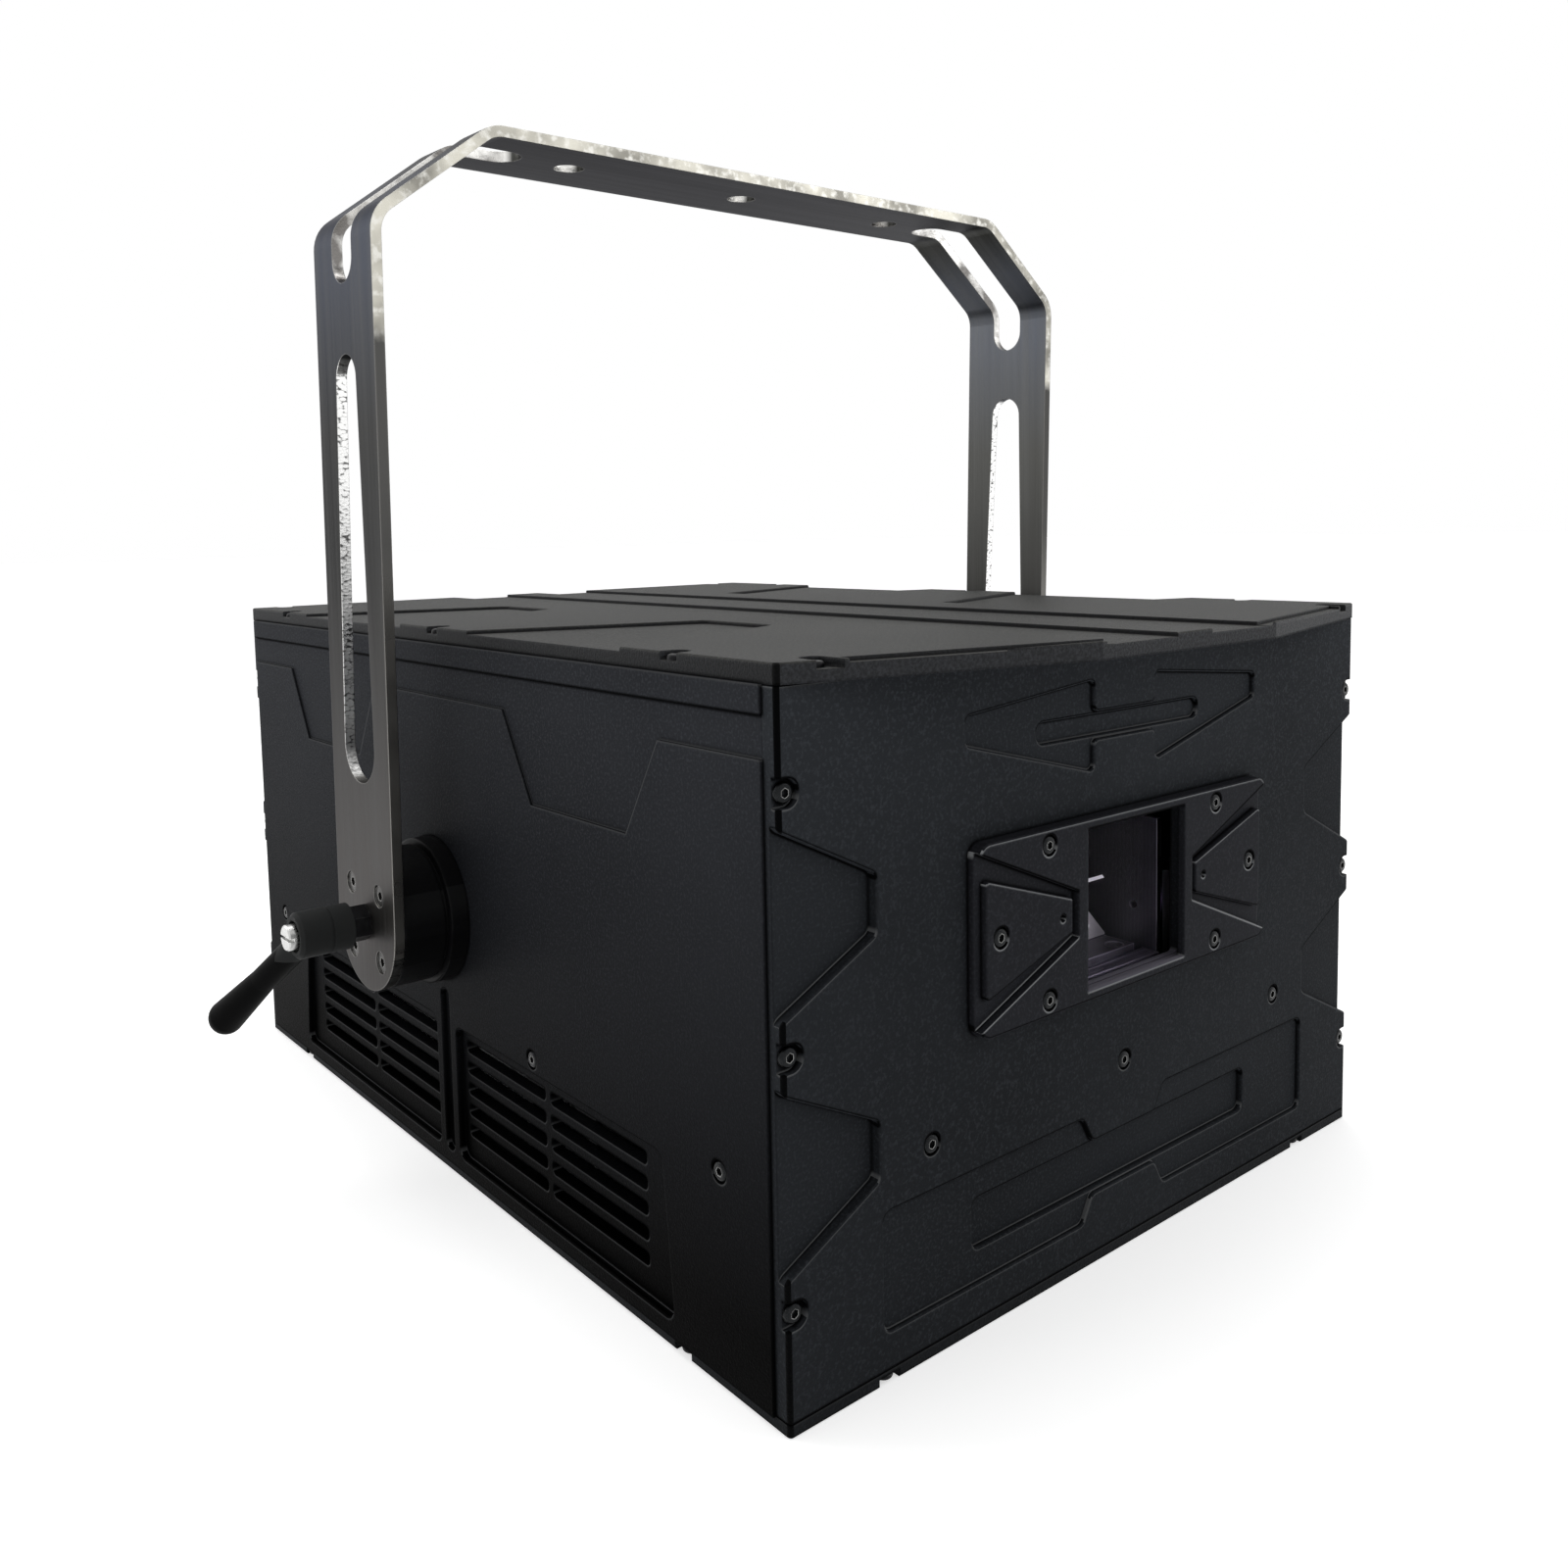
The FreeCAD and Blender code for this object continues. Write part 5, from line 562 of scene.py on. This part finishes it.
# %% Milled aluminium
def anodised(name, dark, light, rough):
    finish = Finish(name, Metallic=0.85)
    swirl = finish.node("TexWave", {"wave_type": "RINGS", "rings_direction": "Z"},
                        {"Vector": finish.place(), "Scale": 160.0, "Distortion": 3.0, "Detail": 2.0})
    cloud = finish.noise(40.0, 3.0)
    tone = finish.blend(swirl * 0.5 + cloud * 0.5, dark, light)
    tone = finish.blend(finish.edges(0.8), tone, [min(1.0, v) for v in tinted(light, 2.2)])
    gloss = finish.limits(swirl + cloud, 0.4, 1.6, rough - 0.06, rough + 0.08)
    return finish.wear(Base_Color=tone, Roughness=gloss, Normal=finish.bump(swirl, 0.008, 0.5))


clear = anodised("clear_anodise", (0.50, 0.50, 0.51), (0.66, 0.66, 0.67), 0.38)
coat(clear, "optical_deck", "laser_modules")
coat(anodised("black_anodise", (0.012, 0.012, 0.013), (0.02, 0.02, 0.021), 0.45), "dichroic_mounts")

# %% [markdown]
# The scanner mount sits right behind the window and is anodised a darker grey. The front faces of the
# lip of its wall are painted near black, painted shade, and the small slanted stop behind the mirrors is
# painted a pale grey, a painted highlight. Both belong to the same solid, so they are found by their
# place.

# %% Scanner mount
LIP_Y = -247.0
STOP_Y, STOP_HALF = -222.7, 1.8
STOP_LEFT, STOP_RIGHT = 15.0, 30.0
STOP_FOOT = 125.0
scanner = anodised("dark_anodise", (0.11, 0.106, 0.122), (0.17, 0.164, 0.19), 0.46)
x, y, z = (scanner.spot(axis) for axis in "XYZ")
# The lip's front faces get painted shade, near black, and the stop a painted highlight, pale grey.
shaded_lip = (y < LIP_Y * MM) * (scanner.facing("Y") > 0.5)
lit_stop = (abs(y - STOP_Y * MM) < STOP_HALF * MM) * (z > STOP_FOOT * MM)
lit_stop = lit_stop * (x > STOP_LEFT * MM) * (x < STOP_RIGHT * MM)
grey = scanner.blend(shaded_lip, scanner.tone(), (0.004, 0.004, 0.005))
scanner.wear(Base_Color=scanner.blend(lit_stop, grey, (0.88, 0.87, 0.86)))
coat(scanner, "scanner_mount")

# %% [markdown]
# The rest of the inside shows only when the cover is off. The control board is green solder mask over
# copper tracks, with black chips on its inner face. A brick pattern, turned upright like the board,
# suggests the tracks well enough.


# %% Control board
CHIP_FACE = 241.2


def bricks(finish, settings, **sizes):
    """Gaps of a brick pattern that stands upright and is seen from the rear."""
    upright = finish.node("Mapping", {}, {"Vector": finish.place(), "Rotation": (math.pi / 2, 0, 0)})
    sockets = {name.replace("_", " "): value for name, value in sizes.items()}
    return finish.node("TexBrick", settings, {"Vector": upright, **sockets}, "Fac")


board = Finish("board_mask", Roughness=0.35)
tracks = bricks(board, {"offset": 0.3, "squash_frequency": 3}, Scale=140.0, Mortar_Size=0.06,
                Brick_Width=1.2, Row_Height=0.4)
mask = board.blend(tracks, (0.010, 0.075, 0.030), (0.03, 0.16, 0.06))
chips = board.spot("Y") < CHIP_FACE * MM
board.wear(Base_Color=board.blend(chips, mask, (0.014, 0.014, 0.015)),
           Normal=board.bump(tracks, 0.03, 0.2))
coat(board, "control_board")

# %% [markdown]
# The power supplies are sheet metal with a grid of round holes. Cutting hundreds of them would cost many
# faces that nobody sees, so they are drawn: a hole is where the nearest point of a square grid is close,
# and each side of the box has a grid of its own.

# %% Power supplies
HOLES_PER_METRE = 160.0
sheet = Finish("supply_sheet", Metallic=0.9)
holes = 0.0
for across, along, way in ("XYZ", "XZY", "YZX"):
    grid = [sheet.spot(axis) * HOLES_PER_METRE for axis in (across, along)]
    apart = [sheet.node("Math", {"operation": "PINGPONG"}, {0: line, 1: 0.5}) - 0.25 for line in grid]
    round_hole = (apart[0] * apart[0] + apart[1] * apart[1]) < 0.016
    holes = round_hole * (sheet.facing(way) > 0.9) + holes
sheet.wear(Base_Color=sheet.blend(holes, (0.55, 0.56, 0.57), (0.02, 0.02, 0.02)),
           Roughness=sheet.limits(sheet.noise(60.0, 3.0), 0.3, 0.7, 0.34, 0.5),
           Normal=sheet.bump(1.0 - holes, 0.3, 0.3))
coat(sheet, "power_supplies")

# %% [markdown]
# The display is a dark smoked pane over a grid of pixels, which the brick pattern gives too, with no
# offset between its rows.

# %% Display pane
pane = Finish("smoked_pane", Roughness=0.06, Specular_IOR_Level=0.5)
cells = bricks(pane, {"offset": 0.0}, Scale=900.0, Mortar_Size=0.08, Brick_Width=1.0, Row_Height=1.0)
pane.wear(Base_Color=pane.blend(cells, (0.004, 0.010, 0.018), (0.002, 0.004, 0.006)))
coat(pane, "display_glass")

# %% [markdown]
# Now the small pieces that the solids leave out. Each starts as a primitive at its size and place and is
# shaped in edit mode, as by hand. A few helpers keep that short: one starts a piece and leaves it open
# for editing, one picks faces by a test on their centre and normal, and the others extrude, inset, bevel
# and close. Sizes and places are in millimetres, as in the solids.


# %% Shaping a small piece
def start(primitive, place, scale=(1, 1, 1), turn=(0, 0, 0), **settings):
    """Adds a primitive with its place in its mesh, and opens it for editing."""
    bpy.ops.object.select_all(action="DESELECT")
    add = getattr(bpy.ops.mesh, "primitive_" + primitive + "_add")
    add(location=Vector(place) * MM, rotation=turn, scale=Vector(scale) * MM, **settings)
    bpy.ops.object.transform_apply(location=True, rotation=True, scale=True)
    bpy.ops.object.mode_set(mode="EDIT")
    bpy.ops.mesh.select_mode(type="FACE")
    return bpy.context.object


def pick(test):
    """Selects the faces of the open piece whose centre and normal pass the test."""
    mesh = bmesh.from_edit_mesh(bpy.context.object.data)
    for face in mesh.faces:
        face.select_set(test(face.calc_center_median(), face.normal))
    mesh.select_flush_mode()
    bmesh.update_edit_mesh(bpy.context.object.data)


def pick_rear():
    pick(lambda centre, normal: normal.y > 0.9)


def pull(x, y, z):
    """Extrudes what is selected."""
    bpy.ops.mesh.extrude_region_move(TRANSFORM_OT_translate={"value": Vector((x, y, z)) * MM})


def inset(width):
    bpy.ops.mesh.inset(thickness=width * MM)


def soften(width, steps=2):
    """Bevels the border of what is selected."""
    bpy.ops.mesh.region_to_loop()
    bpy.ops.mesh.bevel(offset=width * MM, segments=steps, affect="EDGES")
    bpy.ops.mesh.select_mode(type="FACE")


def close(angle=0.6):
    bpy.ops.object.mode_set(mode="OBJECT")
    bpy.ops.object.shade_smooth_by_angle(angle=angle)
    return bpy.context.object


print("shaping tools ready")

# %% [markdown]
# What repeats is modelled once and copied, each copy with its own mesh. The copies are then joined into
# one piece, because they share a finish and never move apart, and the body that carries it is named.


# %% Copying and settling
def copies(piece, ways):
    """Copies of the piece, each with its own mesh, shifted by ways. The first piece goes."""
    made = []
    for way in ways:
        copy = piece.copy()
        copy.data = piece.data.copy()
        bpy.context.collection.objects.link(copy)
        copy.data.transform(Matrix.Translation(Vector(way) * MM))
        made.append(copy)
    bpy.data.objects.remove(piece)
    return made


def settle(name, pieces, finish, body):
    """Joins pieces into one that rides on a body."""
    bpy.ops.object.select_all(action="DESELECT")
    for piece in pieces:
        piece.select_set(True)
    bpy.context.view_layer.objects.active = pieces[0]
    if len(pieces) > 1:
        bpy.ops.object.join()
    joined = bpy.context.object
    joined.name = name
    coat(finish, joined)
    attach(joined, body)
    print(name, "has", len(joined.data.polygons), "faces and rides on", body)


# %% [markdown]
# Each flange on the rear panel is held by small pan-head screws with a hexagon socket. A disc gets its
# domed rim by bevelling the border of its outer face. The socket is cut by a six-sided rod, because an
# inset of a round face would give a round hole.


# %% Flange screws
REAR = 257.0
NETWORK_X = 90.0
INLET_FLANGE, FLANGE = 3.0, 2.0
INLET_EAR_X, DATA_EAR_X = 19.75, 9.8
EAR_Z = 12.2
TO_REAR = (-math.pi / 2, 0, 0)


def pan_screw(radius, height):
    """A screw head that stands on the plane y = 0 and looks to the rear."""
    hexagon = (radius * 0.5, radius * 0.5, height)
    start("cylinder", (0, 1.4 * height, 0), hexagon, TO_REAR, vertices=6, radius=1, depth=2)
    pick(lambda centre, normal: normal.y < -0.9)
    inset(0.1 * radius)
    pull(0, -0.1 * height, 0)
    cutter = close()
    start("cylinder", (0, height / 2, 0), (radius, radius, height), TO_REAR, vertices=32, radius=1, depth=1)
    pick_rear()
    soften(height * 0.45, 4)
    head = close()
    socket = head.modifiers.new("socket", "BOOLEAN")
    socket.object = cutter
    bpy.ops.object.modifier_apply(modifier="socket")
    bpy.data.objects.remove(cutter)
    return head


ears = [(INLET_X + side * INLET_EAR_X, REAR + INLET_FLANGE, LOW_Z) for side in (-1, 1)]
for x in DATA_XS:
    ears += [(x + side * DATA_EAR_X, REAR + FLANGE, LOW_Z + side * EAR_Z) for side in (-1, 1)]
ears += [(NETWORK_X, REAR + FLANGE, LOW_Z + side * EAR_Z) for side in (-1, 1)]
screws = copies(pan_screw(2.3, 1.5), ears)
settle("socket_flange_screws", screws, blackened, "housing")

# %% [markdown]
# The two wide sockets carry the show signals. Each has twenty-five contact tubes, thirteen over twelve.
# One tube is modelled, a rod whose end is inset and pushed in, and the rest are copies.

# %% Contact tubes
SHOW_X = 32.0
SHOW_LEVELS = (30.25, 52.25)
PIN_PITCH = 2.7
ROW_Z = 1.35
TUBE_Y = REAR + 6.3
start("cylinder", (0, 0, 0), (0.62, 0.62, 0.5), TO_REAR, vertices=10, radius=1, depth=1)
pick_rear()
inset(0.2)
pull(0, -0.42, 0)
tube = close()
spots = []
for level in SHOW_LEVELS:
    spots += [(SHOW_X + PIN_PITCH * (i - 6), TUBE_Y, level + ROW_Z) for i in range(13)]
    spots += [(SHOW_X + PIN_PITCH * (i - 5.5), TUBE_Y, level - ROW_Z) for i in range(12)]
gilt = small_metal("contact_gilt", (0.75, 0.55, 0.22), (0.9, 0.72, 0.36), 0.28)
settle("show_contacts", copies(tube, spots), gilt, "housing")

# %% [markdown]
# A hexagon post stands at each end of a wide socket, where the plug's thumb screws go in. It is a
# six-sided rod: its outer rim is broken first, and then the thread's hole is inset and pushed in.

# %% Posts
POST_X, POST_FOOT = 23, 1.5
start("cylinder", (0, 2.3, 0), (2.8, 2.8, 4.6), TO_REAR, vertices=6, radius=1, depth=1)
pick_rear()
soften(0.4)
pick_rear()
inset(0.8)
pull(0, -3.5, 0)
post = close(0.4)
ends = [(SHOW_X + side * POST_X, REAR + POST_FOOT, level) for level in SHOW_LEVELS for side in (-1, 1)]
settle("show_posts", copies(post, ends), bright, "housing")

# %% [markdown]
# Inside the network socket eight gilt springs slope down from the front edge of the mouth. A spring is
# a thin bar whose end face is extruded back and down twice, so that it bends as the real one does.

# %% Network springs
SPRING_PITCH = 1.02
start("cube", (0, REAR - 1.5, LOW_Z + 4.1), (0.5, 4.0, 0.35), size=1)
pick(lambda centre, normal: normal.y < -0.9)
pull(0, -4.0, -1.6)
pull(0, -2.5, -1.8)
spring = close()
springs = copies(spring, [(NETWORK_X + SPRING_PITCH * (i - 3.5), 0, 0) for i in range(8)])
settle("network_springs", springs, gilt, "housing")

# %% [markdown]
# Two small lenses above the mouth show the link, one amber and one green. Each is a block with a softened,
# domed front, and one material gives both colours, by the side on which a lens lies.

# %% Link lenses
start("cube", (0, REAR + 2.2, LOW_Z + 7.0), (3.0, 0.8, 2.0), size=1)
pick_rear()
soften(0.3, 3)
lens = close()
stained = Finish("link_lens", Roughness=0.2, Transmission_Weight=0.3)
amber = stained.spot("X") > NETWORK_X * MM
stained.wear(Base_Color=stained.blend(amber, (0.10, 0.35, 0.08), (0.45, 0.26, 0.03)))
lenses = copies(lens, [(NETWORK_X + side * 4.2, 0, 0) for side in (-1, 1)])
settle("link_lenses", lenses, stained, "housing")

# %% [markdown]
# A data plug is held by a sprung latch with a thumb tab over the socket. The tab is a small block: the
# border of its outer face is softened, and the face is inset and pushed in for the thumb.

# %% Latch tabs
start("cube", (0, REAR + 3.0, LOW_Z + 12.6), (8.0, 2.2, 4.0), size=1)
pick_rear()
soften(0.6, 3)
pick_rear()
inset(0.7)
pull(0, -0.5, 0)
tab = close()
settle("latch_tabs", copies(tab, [(x, 0, 0) for x in DATA_XS]), bright, "housing")

# %% [markdown]
# A narrow ledge closes the gap between the scanner mount and the front panel, against dust. Painting it
# on the mount would look right from one side only, so it is a plate of its own: a flat block whose upper
# edges are softened, with a shallow channel pressed in along its top.

# %% Ledge below the scanner
LEDGE_LEFT, LEDGE_RIGHT = -40.0, 35.8
LEDGE_FRONT, LEDGE_BACK = -248.9, -240.25
LEDGE_TOP, LEDGE_THICK = 121.3, 2.5


def pick_top():
    pick(lambda centre, normal: normal.z > 0.9)


ledge_coat = anodised("ledge_anodise", (0.15, 0.144, 0.17), (0.20, 0.19, 0.225), 0.5)
middle = ((LEDGE_LEFT + LEDGE_RIGHT) / 2, (LEDGE_FRONT + LEDGE_BACK) / 2, LEDGE_TOP - LEDGE_THICK / 2)
start("cube", middle, (LEDGE_RIGHT - LEDGE_LEFT, LEDGE_BACK - LEDGE_FRONT, LEDGE_THICK), size=1)
pick_top()
soften(0.3)
pick_top()
inset(2.2)
pull(0, 0, -0.15)
settle("scan_ledge", [close()], ledge_coat, "housing")

# %% [markdown]
# A few signs are printed on the controls: I and O on the rocker, bars, arrows and a ring on the menu
# buttons, and digits that light up on the pane. Words would fix the part to one maker or tongue, so
# there are none. Letters come from a text object that is thickened a hair and made a mesh, and the other
# signs from a flat disc with few or many sides. A ray cast from behind finds the place and the tilt of
# the face that a sign is laid on.

# %% Making signs
FAR_BEHIND = 400
ink = Finish("white_print", Roughness=0.5)
ink.wear(Base_Color=ink.blend(ink.noise(900.0, 3.0), (0.62, 0.62, 0.61), (0.78, 0.78, 0.77)))


def lay_on(piece, node, x, z):
    """Moves a flat piece, made at the origin and facing up, onto the rear of a CAD node."""
    _, spot, tilt, _ = nodes[node].ray_cast(Vector((x, FAR_BEHIND, z)) * MM, Vector((0, -1, 0)))
    turn = tilt.to_track_quat("Z", "Y").to_matrix().to_4x4()
    piece.data.transform(Matrix.Translation(spot) @ turn)
    return piece


def letters(words, height):
    bpy.ops.object.select_all(action="DESELECT")
    bpy.ops.object.text_add()
    made = bpy.context.object
    made.data.body = words
    made.data.size = height * MM
    made.data.align_x = "CENTER"
    made.data.align_y = "CENTER"
    made.data.extrude = 0.04 * MM
    bpy.ops.object.convert(target="MESH")
    return bpy.context.object


def flat_sign(sides, radius, ring=0.0):
    """A flat polygon with a raised middle, or a ring of that width, made at the origin and facing up."""
    start("cylinder", (0, 0, 0), (radius, radius, 0.06), vertices=sides, radius=1, depth=1)
    pick(lambda centre, normal: abs(normal.z) > 0.9)
    inset(ring or 0.15)
    if ring:
        bpy.ops.mesh.bridge_edge_loops()
    else:
        pull(0, 0, 0.01)
    return close(0.5)


print("signs are", ink.material.name)

# %% [markdown]
# Each sign rides on the control that it is printed on, so that it tips or goes in with it. The arrow up
# and the arrow down are the same triangle, and one of them is turned by half a turn.

# %% Signs on the rocker and the buttons
OFF_Z, ON_Z = 115.4, 109.6
BUTTON_XS = (24, 48, 72, 96)
BUTTON_Z = 142.0
SIGN_R = 2.6
marks = [lay_on(letters(word, 4.5), "switch_rocker", INLET_X, z) for word, z in (("O", OFF_Z), ("I", ON_Z))]
settle("rocker_signs", marks, ink, "rocker")
start("cube", (0, 0, 0.02), (4.6, 0.8, 0.04), size=1)
bpy.ops.mesh.bevel(offset=0.02 * MM, segments=1, affect="EDGES")
bars = copies(close(), [(0, 1.5 * i, 0) for i in (-1, 0, 1)])
for bar in bars:
    lay_on(bar, "menu_button_1", BUTTON_XS[0], BUTTON_Z)
settle("menu_sign", bars, ink, "button_1")
up_arrow = lay_on(flat_sign(3, SIGN_R), "menu_button_2", BUTTON_XS[1], BUTTON_Z)
settle("up_sign", [up_arrow], ink, "button_2")
down_arrow = flat_sign(3, SIGN_R)
down_arrow.data.transform(Matrix.Rotation(math.pi, 4, "Z"))
lay_on(down_arrow, "menu_button_3", BUTTON_XS[2], BUTTON_Z)
settle("down_sign", [down_arrow], ink, "button_3")
ring = lay_on(flat_sign(32, SIGN_R, 0.8), "menu_button_4", BUTTON_XS[3], BUTTON_Z)
settle("enter_sign", [ring], ink, "button_4")

# %% [markdown]
# The digits of the display glow faintly. A lamp behind the pane would light the whole case, so the
# digits themselves give off a little light, a bit uneven as on a real screen.

# %% Digits
DISPLAY_X, DISPLAY_Z = 60, 176
glow = Finish("digit_glow", Base_Color=(0.3, 0.7, 0.9, 1.0), Emission_Strength=0.6)
glow.wear(Emission_Color=glow.blend(glow.noise(500.0, 1.0), (0.25, 0.62, 0.8), (0.4, 0.8, 0.95)))
digits = lay_on(letters("001", 15.0), "display_glass", DISPLAY_X, DISPLAY_Z)
settle("digits", [digits], glow, "housing")

# %% [markdown]
# The floor is a plain pale sheet. It shows as near white and keeps the soft shadow of the case, so its
# own glow is added only for rays that end in the picture, a mirror or a pane, and stays below white.

# %% Floor
FLOOR_GLOW = 0.56
bpy.ops.object.select_all(action="DESELECT")
bpy.ops.mesh.primitive_plane_add(size=40.0)
floor = bpy.context.object
floor.name = "floor"
pale = Finish("pale_floor", Base_Color=(0.82, 0.82, 0.82, 1.0), Roughness=0.7, Specular_IOR_Level=0.1)
own_glow = pale.node("Emission", {}, {"Strength": pale.seen() * FLOOR_GLOW})
both = pale.node("AddShader", {}, {0: Wire(pale, pale.shader.outputs[0]), 1: own_glow})
pale.tree.links.new(both.socket, pale.tree.nodes["Material Output"].inputs[0])
coat(pale, floor)

# %% [markdown]
# The sky round the floor is white to the same rays and about half as strong to everything else. A picture
# of a studio would show in the steel, and a white sky shows as the bare background does.

# %% Sky
SKY_LIGHT = 0.54
world = bpy.context.scene.world or bpy.data.worlds.new("studio")
bpy.context.scene.world = world
world.use_nodes = True
sky = Nodes(world.node_tree)
backdrop = sky.tree.nodes["Background"]
backdrop.inputs["Color"].default_value = (1.0, 1.0, 1.0, 1.0)
sky.feed(backdrop.inputs["Strength"], sky.seen() * (1.0 - SKY_LIGHT) + SKY_LIGHT)
print("sky lights with a strength of", SKY_LIGHT)

# %% [markdown]
# Three soft boxes light the set: a broad one above, one far to the right that the front panel mirrors,
# and one behind on the left that the side panel mirrors. They are weak, because the sky does most of
# the work and a colour should come out about as it is written.


# %% Soft boxes
AIM = Vector((0, 0, 0.2))


def lamp(name, place, size, power):
    bpy.ops.object.light_add(type="AREA", location=place)
    made = bpy.context.object
    made.name = name
    made.data.size = size
    made.data.energy = power
    made.rotation_euler = (AIM - Vector(place)).to_track_quat("-Z", "Y").to_euler()
    print(name, power, "watts")


lamp("top_box", (0.1, 0.3, 2.3), 1.6, 26)
lamp("right_box", (1.9, -1.7, 1.7), 1.4, 9)
lamp("left_box", (-1.7, 1.9, 1.4), 1.4, 14)

# %% [markdown]
# The camera stands where the photograph was taken from. Its place and angles were solved from corners of
# the case, and the shift puts the middle of the lens off the middle of the frame, as in a cropped picture.

# %% Camera
FOCAL_PX = 1358.97
FRAME_PX = 1600
CENTRE_PX = (783.86, 655.24)
SENSOR = 36.0
EYE = Vector((-465.52, -592.01, 314.71)) * MM
turn = math.radians(39.158)
dip = math.radians(4.981)
roll = math.radians(-1.153)
ahead = Vector((math.sin(turn) * math.cos(dip), math.cos(turn) * math.cos(dip), -math.sin(dip)))
level = ahead.cross(Vector((0, 0, 1))).normalized()
plumb = level.cross(ahead)
right = math.cos(roll) * level + math.sin(roll) * plumb
up = -math.sin(roll) * level + math.cos(roll) * plumb
bpy.ops.object.camera_add()
camera = bpy.context.object
camera.matrix_world = Matrix((right, up, -ahead)).transposed().to_4x4()
camera.location = EYE
camera.data.sensor_width = SENSOR
camera.data.lens = FOCAL_PX * SENSOR / FRAME_PX
camera.data.shift_x = (FRAME_PX / 2 - CENTRE_PX[0]) / FRAME_PX
camera.data.shift_y = (CENTRE_PX[1] - FRAME_PX / 2) / FRAME_PX
camera.data.clip_start = 0.01
bpy.context.scene.camera = camera
bpy.context.scene.view_settings.view_transform = "Standard"
print("camera with a lens of %.1f mm" % camera.data.lens)
